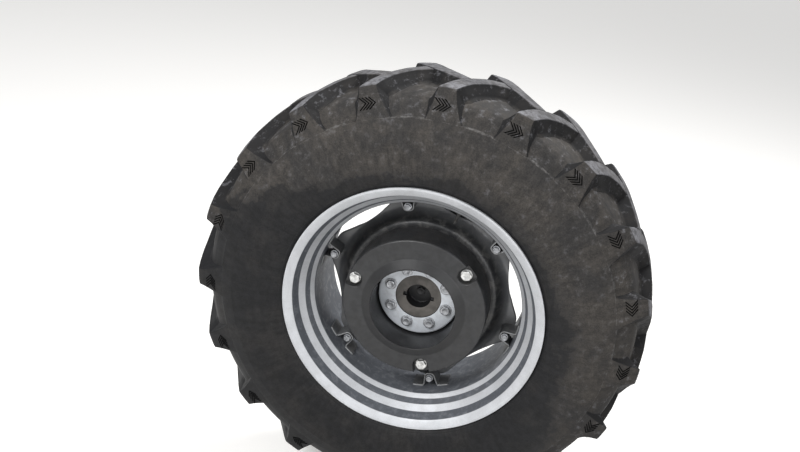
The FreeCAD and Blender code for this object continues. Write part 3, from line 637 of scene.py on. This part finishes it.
# %% One lug
def lug_mesh(name, side):
    """A lug about the +X direction; side is 1 on the side that shows and -1 on the far side."""
    line = fine_line(TOP_LINE, 13)
    end_length = 703.5 - 611
    rows = []
    for radius, out in line:
        down = max(0.0, (703.5 - radius) / end_length)
        if out > 133:
            lead, trail = (read_off(END_FACE, down, k) for k in (1, 2))
            angle, slant = 0.0, 0.0
            foot = Vector((read_off(POCKET_FLOOR, down, 1), read_off(POCKET_FLOOR, down, 2)))
        else:
            angle, slant, lead, trail = (read_off(SPINE, out, k) for k in (1, 2, 3, 4))
            foot_out = out - 14 * max(0.0, (out - 90) / 43)
            foot = Vector((read_off(FLOOR, foot_out, 1), foot_out))
        sink = foot - Vector((radius, out))
        rows.append((radius, out, -sink.normalized(), angle, math.radians(slant), lead, trail, sink.length))

    def point(row, shift, lateral, down):
        """A surface point: shift back along the spine, lateral across it, down into the carcass."""
        radius, out, normal, angle, slant = row[:5]
        out_now = out - shift * math.cos(slant) - lateral * math.sin(slant) - normal.y * down
        radius_now = radius - normal.x * down
        sideways = -shift * math.sin(slant) + lateral * math.cos(slant)
        return at(radius_now, MIDDLE - side * out_now, angle + math.degrees(sideways / radius_now))

    def across(row):
        """Lateral place and depth of each point of a row, from the lead side's foot to the trail side's."""
        lead, trail, depth = row[5:]
        left = [(-lead - out, down) for out, down in side_profile(depth, 0.40)[::-1]]
        right = [(trail + out, down) for out, down in side_profile(depth, 0.30)]
        middle = [(-lead * 0.45, -0.4), (trail * 0.45, -0.4)]
        return left + middle + right

    grid = []
    nose = rows[0]
    for shift, sunk in side_profile(nose[7], 0.45)[::-1]:
        ring = []
        for lateral, down in across(nose):
            edge = -nose[5] if lateral < 0 else nose[6]
            beyond = lateral - edge if abs(lateral) > abs(edge) else 0.0
            pulled = 0.72 if beyond and shift > 0 else 1.0
            ring.append(point(nose, shift * pulled, lateral - beyond * (1 - pulled), max(down, sunk)))
        grid.append(ring)
    grid += [[point(row, 0, lateral, down) for lateral, down in across(row)] for row in rows[1:]]
    points, faces = rings_of(grid, round_rings=False, caps=False)
    # Closed underneath, out of sight in the carcass, by a fan from one point
    width = len(grid[0])
    last = (len(grid) - 1) * width
    rim = list(range(width)) + [row * width + width - 1 for row in range(1, len(grid))]
    rim += [last + i for i in range(width - 2, -1, -1)] + [row * width for row in range(len(grid) - 2, 0, -1)]
    points.append(at(650, MIDDLE - side * 70, -3))
    faces += [(rim[(i + 1) % len(rim)], rim[i], len(points) - 1) for i in range(len(rim))]
    return mesh_of(name, points, faces, crisp=60)


LUG_ANGLE, LUG_COUNT = 165.6, 19
near_lugs = copies("tyre_lugs_near", lug_mesh("near lug", 1), LUG_RUBBER, LUG_COUNT, LUG_ANGLE)
far_lugs = copies("tyre_lugs_far", lug_mesh("far lug", -1), LUG_RUBBER, LUG_COUNT, LUG_ANGLE - 180 / LUG_COUNT)
for lugs in (near_lugs, far_lugs):
    hand_over(lugs, "wheel", "tyre")

# %% [markdown]
# ## Direction marks
#
# Each lug's end face has a plain moulded mark of three chevrons that point the way the wheel rolls
# forwards. They are thin strips that stand a little proud of the face, in rubber that stays darker.

# %% Direction marks
def mark_mesh(name, side):
    """Chevrons on the end face of a lug about the +X direction."""
    parts = []
    face_start, face_end = Vector((703.5, 133.0)), Vector((611, 165.2))
    slope = (face_end - face_start).normalized()
    normal = Vector((-slope.y, slope.x)) if slope.x > 0 else Vector((slope.y, -slope.x))

    def on_face(lateral, way, proud):
        """A point of the end face: way is counted down it from its middle."""
        spot = face_start.lerp(face_end, 0.52) + slope * way - normal * proud
        return at(spot.x, MIDDLE - side * spot.y, math.degrees((lateral - 5) / spot.x))

    for k in range(4):
        tip = -14 + 9.5 * k
        for way in (-1, 1):
            rings = []
            for share in (0.0, 1.0):
                lateral, off = tip + 19 * share, way * 18 * share
                rings.append([on_face(lateral + dx, off, proud)
                              for dx, proud in ((-1.9, -1.0), (-1.5, 1.0), (2.3, 1.0), (2.7, -1.0))])
            parts.append(rings_of(rings))
    return mesh_of(name, *joined(*parts))


near_marks = copies("tyre_marks_near", mark_mesh("near mark", 1), MARK_RUBBER, LUG_COUNT, LUG_ANGLE)
far_marks = copies("tyre_marks_far", mark_mesh("far mark", -1), MARK_RUBBER, LUG_COUNT,
                   LUG_ANGLE - 180 / LUG_COUNT)
for marks in (near_marks, far_marks):
    hand_over(marks, "wheel", "tyre")

# %% [markdown]
# ## Rim
#
# The rim is rolled from one strip, so every bend in its section is round. Seen from outside, three
# bright bands face the viewer, with steep steps between them that its paint darkens as painted shade.
# The outline has its measured corners with a rounding each, goes round behind on the tyre's side and is closed.

# %% Rim
FLANGE = [(406.5, 0.0, 2.6), (403.2, 0.0, 0.8), (402.4, 1.2, 0.6), (401.0, 0.4, 2), (378.3, 12.5, 5), (367.0, 43.2, 5)]
rim_outline = FLANGE + [(350.4, 61.2, 5), (340.8, 81.4, 5), (328.7, 94.8, 7), (328.7, 322.1, 12)]
rim_outline += [(radius, 361 - depth, rounding) for radius, depth, rounding in FLANGE[::-1]]
rim_outline += [(406.5, 351.2, 2), (394, 346.5, 5), (381.0, 342.0, 3), (381.0, 316.0, 4), (339.7, 314.1, 6),
                (339.7, 87.3, 8), (381.0, 56, 6), (381.0, 19.0, 3), (394, 14.5, 5), (406.5, 9.8, 2)]
rim_outline = rounded(rim_outline, closed=True, step=15)
rim = coat(object_of("rim_rolled", mesh_of("rim_rolled", *lathe(rim_outline, 224))), RIM_PAINT)
hand_over(rim, "wheel", "rim_paint", "rim")

# %% [markdown]
# ## Strap loops
#
# Each loop is a thick strap bent like the letter omega. Its feet follow the well and are welded to
# it, and the rim bolt passes through its round back. A line down the middle of the strap is offset
# to both sides, and the strap is thinner at its two ends, which gives its cut edges a small round.

# %% Strap loops
WELL, RIM_BOLT_CIRCLE, TAB_DEPTH, LOOP_LENGTH = 328.7, 298.7, 200, 59
STRAP = 4.6


def strap_line():
    """Middle line of the strap as (radius direction, sideways) points."""
    foot = WELL - 0.3 - STRAP / 2
    feet = [(math.sqrt(foot ** 2 - side ** 2), side, 0) for side in (55, 49, 43, 37, 31)]
    back = RIM_BOLT_CIRCLE - 17 + STRAP / 2
    half = feet + [(foot - 1.2, 22.0, 8), (back, 13.0, 11)]
    return rounded(half + [(radius, -side, rounding) for radius, side, rounding in half[::-1]], step=12)


def loop_mesh():
    line = strap_line()
    edges = []
    for half in (STRAP / 2 - 1.1, STRAP / 2 - 0.3, STRAP / 2):
        ring = []
        for side in (1, -1):
            row = []
            for i, spot in enumerate(line):
                along = Vector(line[min(i + 1, len(line) - 1)]) - Vector(line[max(i - 1, 0)])
                off = Vector((along.y, -along.x)).normalized() * half * side
                row.append((spot[0] + off.x, spot[1] + off.y))
            ring += row if side == 1 else row[::-1]
        edges.append(ring)
    rings = []
    ends = [(0, 0.0), (1, 0.5), (2, 1.3)]
    for level, inset in ends + [(level, LOOP_LENGTH - inset) for level, inset in ends[::-1]]:
        rings.append([Vector((across, TAB_DEPTH - inset - REACH, side)) / 1000 for across, side in edges[level]])
    points, faces = rings_of(rings, caps=False)
    width, count = len(rings[0]), len(line)
    for start in (0, (len(rings) - 1) * width):
        for i in range(count - 1):
            faces.append((start + i, start + i + 1, start + width - 2 - i, start + width - 1 - i))
    return mesh_of("loop", points, faces)


loops = copies("strap_loops", loop_mesh(), SHADED_LOOP_PAINT, 6, BOLT_ANGLE)
hand_over(loops, "wheel", "rim_paint", "rim_loops")

# %% [markdown]
# ## Weld beads
#
# A hand-laid weld is a bead with even ripples. A second tree makes it: it takes a line, resamples
# it, lets the bead's radius swell and shrink along it by a wave, and sweeps a circle along it. The
# lines follow the ends and edges of the loops' feet on the well.

# %% The tree that lays a weld
def make_weld_tree():
    tree = bpy.data.node_groups.new("Weld along a line", "GeometryNodeTree")
    for name, kind in (("Line", "Geometry"), ("Bead", "Float"), ("Ripple", "Float"), ("Finish", "Material")):
        tree.interface.new_socket(name, in_out="INPUT", socket_type="NodeSocket" + kind)
    tree.interface.new_socket("Weld", in_out="OUTPUT", socket_type="NodeSocketGeometry")
    given = tree.nodes.new("NodeGroupInput").outputs
    curve = add(tree, "GeometryNodeMeshToCurve", {0: given["Line"]})
    fine = add(tree, "GeometryNodeResampleCurve", {"Curve": curve.outputs[0], "Length": 0.0016}, mode="LENGTH")
    way = tree.nodes.new("GeometryNodeSplineParameter").outputs["Length"]
    wave = sum_of(tree, "SINE", sum_of(tree, "MULTIPLY", sum_of(tree, "DIVIDE", way, given["Ripple"]), 2 * math.pi))
    swell = sum_of(tree, "ADD", sum_of(tree, "MULTIPLY", wave, 0.10), 1.0)
    sized = add(tree, "GeometryNodeSetCurveRadius", {"Curve": fine.outputs[0], "Radius": swell})
    ring = add(tree, "GeometryNodeCurvePrimitiveCircle", {"Resolution": 8, "Radius": given["Bead"]})
    swept = add(tree, "GeometryNodeCurveToMesh", {"Curve": sized.outputs[0], "Profile Curve": ring.outputs[0],
                                                  "Fill Caps": True})
    if "Scale" in swept.inputs:
        tree.links.new(swell, swept.inputs["Scale"])
    real = add(tree, "GeometryNodeRealizeInstances", {0: swept.outputs[0]})
    coated = add(tree, "GeometryNodeSetMaterial", {"Geometry": real.outputs[0], "Material": given["Finish"]})
    tree.links.new(coated.outputs[0], tree.nodes.new("NodeGroupOutput").inputs[0])
    return tree


def weld_lines():
    """Lines round the three free edges of both feet of every loop."""
    points, edges = [], []
    for k in range(6):
        turn = BOLT_ANGLE + 60 * k
        for hand in (1, -1):
            corners = [(24, 141), (56.5, 140.6), (56.5, 200.4), (24, 200)]
            for (side, depth), (next_side, next_depth) in zip(corners, corners[1:]):
                count = 6
                for i in range(count):
                    share = i / count
                    here = Vector((side, depth)).lerp(Vector((next_side, next_depth)), share)
                    points.append(at(WELL - 1.5, here.y, turn + hand * math.degrees(math.asin(here.x / WELL))))
                    edges.append((len(points) - 1, len(points)))
            side, depth = corners[-1]
            points.append(at(WELL - 1.5, depth, turn + hand * math.degrees(math.asin(side / WELL))))
    return points, edges


weld_points, weld_edges = weld_lines()
weld_mesh = bpy.data.meshes.new("weld lines")
weld_mesh.from_pydata(weld_points, weld_edges, [])
welds = run_tree(object_of("loop_welds", weld_mesh), make_weld_tree(),
                 {"Bead": 0.0032, "Ripple": 0.0052, "Finish": SHADED_LOOP_PAINT})
welds.data.polygons.foreach_set("use_smooth", [True] * len(welds.data.polygons))
hand_over(welds, "wheel", "rim_paint")

# %% [markdown]
# ## Disc
#
# The disc is pressed from one plate. From the middle out it has the flat hub face, a dish wall, the
# seat of the weight and a slope out to six tabs, with a scallop between each two. A lathe can't make
# the scallops, so each ray from the axle gets its own end: the nearer of the tab's end and the
# scallop's arc, blended so that the corners are round.

# %% Disc
HUB_FACE, SEAT, PLATE = 128, 155, 12


def disc_end(angle):
    """Radius where the plate ends on that ray; angle counts from the first tab's middle."""
    off = math.radians((angle % 60) - 30)
    far = 717.0
    scallop = far * math.cos(off) - math.sqrt(max(440.0 ** 2 - (far * math.sin(off)) ** 2, 0))
    tab = 316.0
    sharp = 5.0
    return -sharp * math.log(math.exp(-(scallop - 300) / sharp) + math.exp(-(tab - 300) / sharp)) + 300


inner_path = rounded([(73.6, 128, 0), (130, 128, 7), (130, 155, 9), (222, 155, 0)], step=15)
outer_path = fine_line([(222, 155, 0), (241, 155, 12), (275, 200, 14), (330, 200, 0)], 7)


def disc_mesh():
    count = 240
    grid = []
    for i in range(count):
        angle = 360 * i / count
        end = disc_end(angle)
        path = list(inner_path)
        reach = end - 222
        for share in (0.1, 0.17, 0.24, 0.31, 0.38, 0.46, 0.54, 0.62, 0.7, 0.78, 0.86, 0.92, 0.96, 1.0):
            radius = 222 + reach * share
            for (r0, d0), (r1, d1) in zip(outer_path, outer_path[1:]):
                if r0 <= radius <= r1:
                    path.append((radius, d0 + (d1 - d0) * (radius - r0) / (r1 - r0)))
                    break
        front, back = [], []
        for k, spot in enumerate(path):
            along = Vector(path[min(k + 1, len(path) - 1)]) - Vector(path[max(k - 1, 0)])
            off = Vector((-along.y, along.x)).normalized() * PLATE
            front.append(spot)
            back.append((spot[0] + off.x, spot[1] + off.y))
        edge_front, edge_back = Vector(front[-1]), Vector(back[-1])
        out = (edge_front - Vector(front[-2])).normalized()
        rim_edge = [tuple(edge_front.lerp(edge_back, share) + out * 1.4) for share in (0.12, 0.5, 0.88)]
        hole_front, hole_back = Vector(front[0]), Vector(back[0])
        bore = [tuple(hole_back.lerp(hole_front, share) + Vector((-0.0, 0))) for share in (0.5,)]
        grid.append([at(radius, depth, angle) for radius, depth in front + rim_edge + back[::-1] + bore])
    points, faces = rings_of(grid, round_rows=True)
    mesh = mesh_of("disc", points, faces, crisp=50)
    mesh.transform(Matrix.Rotation(-math.radians(BOLT_ANGLE), 4, "Y"))
    return mesh


disc = coat(object_of("disc_pressed", disc_mesh()), SHADED_DISC_PAINT)
hand_over(disc, "wheel", "disc_paint", "wheel_disc")

# %% [markdown]
# ## Ring weight
#
# The weight is a heavy casting: a ring with a raised lip round its bore, a rounded edge and three
# open pockets for its bolts. The ring comes off the lathe, and the pockets are cut with a Boolean.
# The cutter is wider at the face and rounded at its bottom, so the cut edges look cast.

# %% Ring weight
WEIGHT_FACE, WEIGHT_BOLTS, POCKET, POCKET_DEPTH = 45, 201.9, 24, 19
weight_outline = rounded([(133, 155, 1.5), (225.6, 155, 2), (225.6, 45, 7), (165.3, 45, 9), (137, 29.5, 3.5),
                          (133, 29.5, 2), ], closed=True, step=15)
weight = coat(object_of("ring_weight", mesh_of("ring_weight", *lathe(weight_outline, 192))), WEIGHT_SKIN)


def pocket_cutter():
    """Three open pockets, each drawn as rings that widen towards the face."""
    parts = []
    levels = [(64.0, -5.0), (63.0, -1.6), (60.5, 0.0), (49.0, 0.6), (46.6, 1.6), (45.0, 3.6), (20.0, 4.6)]
    for k in range(3):
        rings = []
        for depth, wider in levels:
            half = POCKET + wider
            ring = [(WEIGHT_BOLTS + 60, -half)]
            ring += [(WEIGHT_BOLTS - half * math.sin(math.radians(turn)), -half * math.cos(math.radians(turn)))
                     for turn in range(0, 181, 10)]
            ring += [(WEIGHT_BOLTS + 60, half)]
            rings.append([at(math.hypot(*spot), depth,
                             BOLT_ANGLE + 120 * k + math.degrees(math.atan2(spot[1], spot[0]))) for spot in ring])
        parts.append(rings_of(rings))
    return object_of("cutter", mesh_of("cutter", *joined(*parts)))


cutter = pocket_cutter()
cut = weight.modifiers.new("pockets", "BOOLEAN")
cut.object, cut.operation, cut.solver = cutter, "DIFFERENCE", "EXACT"
keep_shape(weight)
bpy.data.objects.remove(cutter)
weight.data.set_sharp_from_angle(angle=math.radians(40))
hand_over(weight, "wheel", "weight", "wheel_weight")

# %% [markdown]
# ## Bolts, nuts and washers
#
# A bolt head is a hexagon whose top is turned to a cone, which leaves the small curved chamfers at
# its corners. Every point of a ring lies on the hexagon, and its height is the lower of the side and
# the cone. Washers are rounded rings under the heads. The tree puts each kind on its circle and
# turns each one by chance.

# %% A hexagon head with its washer
def hex_part(flats, seat, height, washer=0.0, washer_height=0.0, stud=0.0, centre=0.0):
    """Points and faces of a head that stands outboard of its seat, on a washer of that width."""
    parts = []
    count, corner = 48, flats / math.sqrt(3)
    base = seat - washer_height
    top = base - height

    def hexagon(angle):
        return flats / 2 / math.cos(math.radians((angle + 30) % 60 - 30))

    def ring(scale, depth_at):
        spots = []
        for i in range(count):
            angle = 360 * i / count
            radius = min(hexagon(angle), scale) if scale else hexagon(angle)
            turn = math.radians(angle)
            spots.append(Vector((centre + radius * math.cos(turn), depth_at(radius) - REACH,
                                 radius * math.sin(turn))) / 1000)
        return spots

    cone = lambda radius: top + max(0.0, radius - flats * 0.47) * 0.55
    rings = [ring(None, lambda radius: base), ring(None, cone), ring(flats * 0.47, lambda radius: top),
             ring(flats * 0.36, lambda radius: top + 0.25), ring(flats * 0.33, lambda radius: top + 0.8)]
    parts.append(rings_of(rings))
    if washer:
        outline = rounded([(corner * 0.5, seat, 0), (washer / 2, seat, 0.4), (washer / 2, base, 0.9),
                           (corner * 0.5, base, 0)], step=30)
        parts.append(lathe(outline, 48, centre=(centre, 0)))
    if stud:
        radius = flats * 0.31
        outline = [(radius, top + 2)]
        threads = max(1, int(stud / 1.8))
        for k in range(threads):
            outline += [(radius, top - 1.8 * k - 0.3), (radius - 0.9, top - 1.8 * k - 1.2)]
        outline += [(radius - 1.2, top - stud), (0.01, top - stud)]
        parts.append(lathe(outline[:-1], 24, closed=False, centre=(centre, 0)))
    return joined(*parts)


# %% The rings of bolts
BOLT_RINGS = [
    # name, node, finish, flats, seat, height, washer, its height, count, circle, first angle, seed
    ("hub_bolt_heads", "hub_bolts", SHADED_ZINC, 26, 128, 9.0, 38, 3.0, 8, 95, 164.6, 3),
    ("weight_bolt_heads", "weight_bolts", ZINC, 29, 64, 11.0, 36, 2.6, 3, WEIGHT_BOLTS, BOLT_ANGLE, 5),
    ("rim_bolt_heads", "rim_bolts", SHADED_ZINC, 18, 141, 9.0, 24.5, 3.4, 6, RIM_BOLT_CIRCLE, BOLT_ANGLE, 7),
    ("retainer_bolt_heads", "retainer_bolts", ZINC, 13, 182, 8.0, 0, 0, 8, 75.6, 0, 11),
]
for name, node, finish, flats, seat, height, washer, washer_height, count, circle, first, seed in BOLT_RINGS:
    mesh = mesh_of(name, *hex_part(flats, seat, height, washer, washer_height))
    heads = copies(name, mesh, finish, count, first, circle, chance=28, seed=seed)
    hand_over(heads, "axle_housing" if node == "retainer_bolts" else "wheel", "bolt", node)

# %% [markdown]
# The nuts behind the tabs face the other way. They are the same head mirrored in depth. The bolt in
# the shaft's end stands alone on the axle.

# %% Nuts and the end bolt
def mirrored(points, plane):
    """The same points seen in a mirror across the axle at that depth."""
    y = (plane - REACH) / 1000
    return [Vector((spot.x, 2 * y - spot.y, spot.z)) for spot in points]


nut_points, nut_faces = hex_part(24, 212, 11.0, 30, 2.4)
nuts = copies("rim_nut_ring", mesh_of("nut", mirrored(nut_points, 212), nut_faces), ZINC, 6, BOLT_ANGLE,
              RIM_BOLT_CIRCLE, chance=28, seed=13)
hand_over(nuts, "wheel", "bolt", "rim_nuts")
# The end bolt takes the shaft's finish, so the painted shade of the recess covers it.
end_bolt = coat(object_of("end_bolt_head", mesh_of("end bolt", *hex_part(24, 175, 9.6))), SHAFT_SKIN)
hand_over(end_bolt, "wheel", "bolt", "axle_end_bolt")

# %% [markdown]
# ## Axle shaft
#
# The shaft ends in a boss that centres the disc. Its face has a round recess with a driver notch on
# each side. The recess and notches are one outline seen from outside, which every ray from the axle
# meets once, so the boss is again made ray by ray. Behind it come the flange and the shaft.

# %% Axle shaft
def notch_edge(angle, grow=0.0):
    """Radius of the recess with its two notches on that ray."""
    turn = math.radians(angle)
    across, up = abs(math.cos(turn)), abs(math.sin(turn))
    slot = min((49 + grow) / max(across, 1e-6), (7 + grow) / max(up, 1e-6))
    return max(40.2 + grow, slot)


def shaft_mesh():
    quarter = [0, 3, 6, 8.0, 8.3, 9.0, 10.0, 10.4, 13] + list(range(18, 91, 6))
    angles = quarter + [180 - angle for angle in quarter[-2::-1]]
    angles += [angle + 180 for angle in angles[1:-1]]
    grid = []
    for angle in angles:
        edge, wide = notch_edge(angle), notch_edge(angle, 1.3)
        ray = [(0.0, 175), (20, 175), (38, 175), (40.2, 173), (40.2, 160), (40.2, 142.8), (edge, 142.0),
               (edge, 131.2), (wide, 130.0), (min(wide + 4, 69), 130.0), (69, 130.0), (72.0, 130.6), (73, 132.0),
               (73, 139.5), (74.5, 141), (112, 141), (115.6, 141.6), (117, 143.2), (117, 162.6), (115.6, 164.4),
               (113, 165), (54, 165), (46, 167), (42, 174), (42, 636), (40, 640), (0.0, 640)]
        grid.append([at(radius, depth, angle) for radius, depth in ray])
    points, faces = rings_of(grid, round_rings=False, round_rows=True)
    return mesh_of("shaft", points, faces, crisp=35)


shaft = coat(object_of("axle_shaft_end", shaft_mesh()), SHAFT_SKIN)
hand_over(shaft, "wheel", "shaft", "axle_shaft")

# %% [markdown]
# ## Axle housing
#
# The housing is a casting: a round bearing end, an eight-sided barrel, four ribs, a mounting flange
# with eight holes and a boss for the level plug. Rings of points with rounded corners are lofted
# along the axle, the ribs and the boss are closed forms that start inside the wall, and the holes
# are cut with a Boolean.

# %% Rings for the housing
def eight_sided(flats, soft, count=96):
    """Radius on each ray of an octagon whose corners are rounded off; soft is how much."""
    result = []
    for i in range(count):
        angle = 360 * i / count
        off = math.radians((angle + 22.5) % 45 - 22.5)
        result.append(min(flats / 2 / math.cos(off), flats / 2 / math.cos(math.radians(22.5)) - soft))
    return result


def loft(levels, count=96):
    """Rings at (depth, radii) joined along the axle."""
    rings = [[at(radii[i], depth, 360 * i / count) for i in range(count)] for depth, radii in levels]
    return rings_of(rings)


def mixed(first, second, share):
    return [a + (b - a) * share for a, b in zip(first, second)]


def housing_mesh():
    barrel = eight_sided(150, 3.0)
    end = [98.0] * 96
    body = [(194.0, [96.6] * 96), (195.4, end), (246, end), (252, mixed(end, barrel, 0.22)),
            (256.6, mixed(end, barrel, 0.62)), (258, mixed(end, barrel, 0.9)), (262, barrel), (556, barrel),
            (566, mixed(barrel, eight_sided(176, 4), 0.35)), (573.5, eight_sided(176, 4))]
    return loft(body)


def flange_mesh():
    plate = eight_sided(300, 5.0)
    levels = [(573, 1.6), (573.7, 0.5), (575, 0.0), (593, 0.0), (594.4, 0.5), (595, 1.6)]
    return loft([(depth, [radius - inset for radius in plate]) for depth, inset in levels])


# %% Ribs and boss
def rib_parts():
    """Four ribs whose top falls from the flange to the barrel."""
    parts = []
    outline = [(50, 574), (126, 574), (122, 560), (100, 505), (82, 462), (74, 444), (50, 444)]
    for k in range(4):
        rings = []
        for across, inset in ((-7, 1.8), (-6.2, 0.5), (-5, 0), (5, 0), (6.2, 0.5), (7, 1.8)):
            ring = []
            for radius, depth in outline:
                spot = at(radius - (inset if radius > 60 else 0), depth, 90 * k)
                side = Vector((-math.sin(math.radians(90 * k)), 0, math.cos(math.radians(90 * k)))) * across / 1000
                ring.append(spot + side)
            rings.append(ring)
        parts.append(rings_of(rings))
    return joined(*parts)


def standing(outline, depth, count=40):
    """Turn (radius, height below the axle) points about the vertical line at that depth."""
    return rings_of([[Vector((radius * math.cos(2 * math.pi * i / count),
                              (depth - REACH) / 1000 * 1000 + radius * math.sin(2 * math.pi * i / count),
                              -height)) / 1000 for i in range(count)] for radius, height in outline])


PLUG_DEPTH = REACH - 175
boss = standing([(24, 60), (24, 74), (21, 80), (20, 86), (20, 94.8), (18.8, 96)], PLUG_DEPTH)
housing = object_of("housing_casting", mesh_of("housing", *joined(housing_mesh(), flange_mesh(), rib_parts(), boss)))
holes = []
for k in range(8):
    angle = 22.5 + 45 * k
    place = at(134, 0, angle) * 1000
    holes.append(lathe([(7.5, 560), (7.5, 610)], 24, closed=False, centre=(place.x, place.z)))
holes.append(lathe([(42.05, 180), (42.05, 620)], 96, closed=False))
cutter = object_of("cutter", mesh_of("cutter", *joined(*holes)))
cut = housing.modifiers.new("holes", "BOOLEAN")
cut.object, cut.operation, cut.solver, cut.use_self = cutter, "DIFFERENCE", "EXACT", True
keep_shape(housing)
bpy.data.objects.remove(cutter)
housing.data.set_sharp_from_angle(angle=math.radians(40))
coat(housing, HOUSING_SKIN)
hand_over(housing, "axle_housing", "housing", "axle_housing")

# %% [markdown]
# The seal retainer is an eight-sided plate with rounded edges. The level plug is a hexagon on a
# round collar, under the boss.

# %% Seal retainer and level plug
plate = eight_sided(177.4, 2.5)
hole = [42.3] * 96
levels = [(182.0, hole), (182.0, mixed(hole, plate, 0.3)), (182.0, [radius - 1.6 for radius in plate]),
          (182.6, [radius - 0.5 for radius in plate]), (184.0, plate), (192.6, plate),
          (193.6, [radius - 0.5 for radius in plate]), (194.0, [radius - 1.6 for radius in plate]),
          (194.0, mixed(hole, plate, 0.3)), (194.0, hole)]
rings = [[at(radii[i], depth, 360 * i / 96) for i in range(96)] for depth, radii in levels]
retainer = coat(object_of("retainer_plate", mesh_of("retainer", *rings_of(rings, round_rows=True))), HOUSING_SKIN)
hand_over(retainer, "axle_housing", "housing", "seal_retainer")


def plug_mesh():
    """A hexagon head that points down, on a thin collar."""
    points, faces = hex_part(23.6, 0, 9.4, 27, 1.4)
    turned = [Vector((spot.x, (PLUG_DEPTH - REACH) / 1000 + spot.z, -0.096 + (spot.y + REACH / 1000)))
              for spot in points]
    return mesh_of("plug", turned, faces)


plug = coat(object_of("level_plug_head", plug_mesh()), ZINC)
hand_over(plug, "axle_housing", "bolt", "level_plug")

# %% [markdown]
# ## Valve
#
# The valve stem sits in the well and points at the axle: a rubber foot, a threaded stem and a cap,
# all dark. It is turned like everything else, about a line across the axle this time.

# %% Valve
def spoke_lathe(outline, depth, angle, count=32):
    """Turn (radius, distance from the axle) points about a line from the axle outwards."""
    out = Vector((math.cos(math.radians(angle)), 0, math.sin(math.radians(angle))))
    side = Vector((-out.z, 0, out.x))
    rings = []
    for radius, reach in outline:
        ring = []
        for i in range(count):
            turn = 2 * math.pi * i / count
            spot = out * reach + side * radius * math.cos(turn) + Vector((0, 1, 0)) * radius * math.sin(turn)
            ring.append((spot + Vector((0, depth - REACH, 0))) / 1000)
        rings.append(ring)
    return rings_of(rings)


VALVE_ANGLE, VALVE_DEPTH = BOLT_ANGLE + 30, 111.3
foot = mesh_of("valve foot", *spoke_lathe(rounded([
    (8, 330, 0), (8, 325, 1.5), (6, 321, 1.5), (5.6, 306, 1), (3, 305.4, 0)], step=30), VALVE_DEPTH, VALVE_ANGLE))
stem_line = [(3.9, 312)]
for k in range(9):
    stem_line += [(3.9, 305 - k), (3.4, 304.5 - k)]
stem_line += [(3.4, 296)]
stem = joined(spoke_lathe(stem_line, VALVE_DEPTH, VALVE_ANGLE, 20),
              spoke_lathe(rounded([(3, 298, 0), (4.9, 298, 0.4), (4.9, 287.4, 1.2), (2, 286.6, 0)], step=30),
                          VALVE_DEPTH, VALVE_ANGLE, 20))
valve_foot = coat(object_of("valve_foot", foot), VALVE_RUBBER)
valve_cap = coat(object_of("valve_cap", mesh_of("valve cap", *stem)), VALVE_RUBBER)
hand_over(valve_foot, "wheel", "valve", "valve_stem")
hand_over(valve_cap, "wheel", "valve")

# %% [markdown]
# ## Floor, light and camera
#
# A plain pale floor with a soft studio light shows the object without a setting. The camera stands
# where the photographer stood: a little to the left and above, with the picture tilted. Its place
# was found by fitting the circles of the wheel.

# %% Floor
FLOOR_HEIGHT = cad_box[0][2] - 0.0005
floor_mesh = bpy.data.meshes.new("floor")
floor_mesh.from_pydata([(x, y, FLOOR_HEIGHT) for x, y in ((-90, -90), (90, -90), (90, 90), (-90, 90))], [],
                       [(0, 1, 2, 3)])
floor = object_of("floor", floor_mesh)
def seen_directly(tree):
    """1 for what is looked at, mirrored or seen through glass, and 0 for light on its way round."""
    paths = tree.nodes.new("ShaderNodeLightPath").outputs
    return sum_of(tree, "MAXIMUM", sum_of(tree, "MAXIMUM", paths["Is Camera Ray"], paths["Is Glossy Ray"]),
                  paths["Is Transmission Ray"])


pale, tree, shader, place = new_finish("pale floor", Roughness=0.9)
seen = seen_directly(tree)
link(tree, blend(tree, seen, (0.30, 0.30, 0.30, 1), (0.80, 0.79, 0.77, 1)), shader, "Base Color")
shader.inputs["Emission Color"].default_value = (1.0, 0.985, 0.96, 1)
link(tree, sum_of(tree, "MULTIPLY", seen, 0.38), shader, "Emission Strength")
coat(floor, pale)

# %% Light
world = bpy.data.worlds.new("studio")
bpy.context.scene.world = world
world.use_nodes = True
background = world.node_tree.nodes["Background"]
background.inputs["Color"].default_value = (0.95, 0.97, 1.0, 1)
tree = world.node_tree
tree.links.new(ramp(tree, seen_directly(tree), 0.0, 1.0, 0.36, 0.72), background.inputs["Strength"])


def lamp(name, size, power, place, target=(0, -0.4, 0)):
    """A soft square lamp aimed at the object."""
    made = bpy.data.objects.new(name, bpy.data.lights.new(name, "AREA"))
    made.data.size, made.data.energy = size, power
    made.location = place
    made.rotation_mode = "QUATERNION"
    made.rotation_quaternion = (Vector(target) - Vector(place)).to_track_quat("-Z", "Y")
    bpy.context.scene.collection.objects.link(made)


lamp("key", 1.8, 180, (-2.0, -3.9, 3.1))
lamp("fill", 2.6, 60, (2.2, -4.4, 1.2))
lamp("back", 2.5, 230, (1.4, 1.6, 4.2))
bpy.context.scene.view_settings.view_transform = "Standard"

# %% Camera
azimuth, elevation, roll = math.radians(9.59), math.radians(23.48), math.radians(8.08)
right = Vector((math.cos(azimuth), math.sin(azimuth), 0))
ahead = Vector((-math.sin(azimuth) * math.cos(elevation), math.cos(azimuth) * math.cos(elevation),
                -math.sin(elevation)))
over = right.cross(ahead)
across = math.cos(roll) * right + math.sin(roll) * over
above = -math.sin(roll) * right + math.cos(roll) * over
camera = bpy.data.objects.new("camera", bpy.data.cameras.new("camera"))
camera.data.lens, camera.data.sensor_width = 44.1, 36
turned = Matrix((across, above, -ahead)).transposed().to_4x4()
camera.matrix_world = Matrix.Translation((0.370, -3.187, 1.423)) @ turned
bpy.context.scene.collection.objects.link(camera)
bpy.context.scene.camera = camera
print("camera looks along", [round(value, 3) for value in ahead])
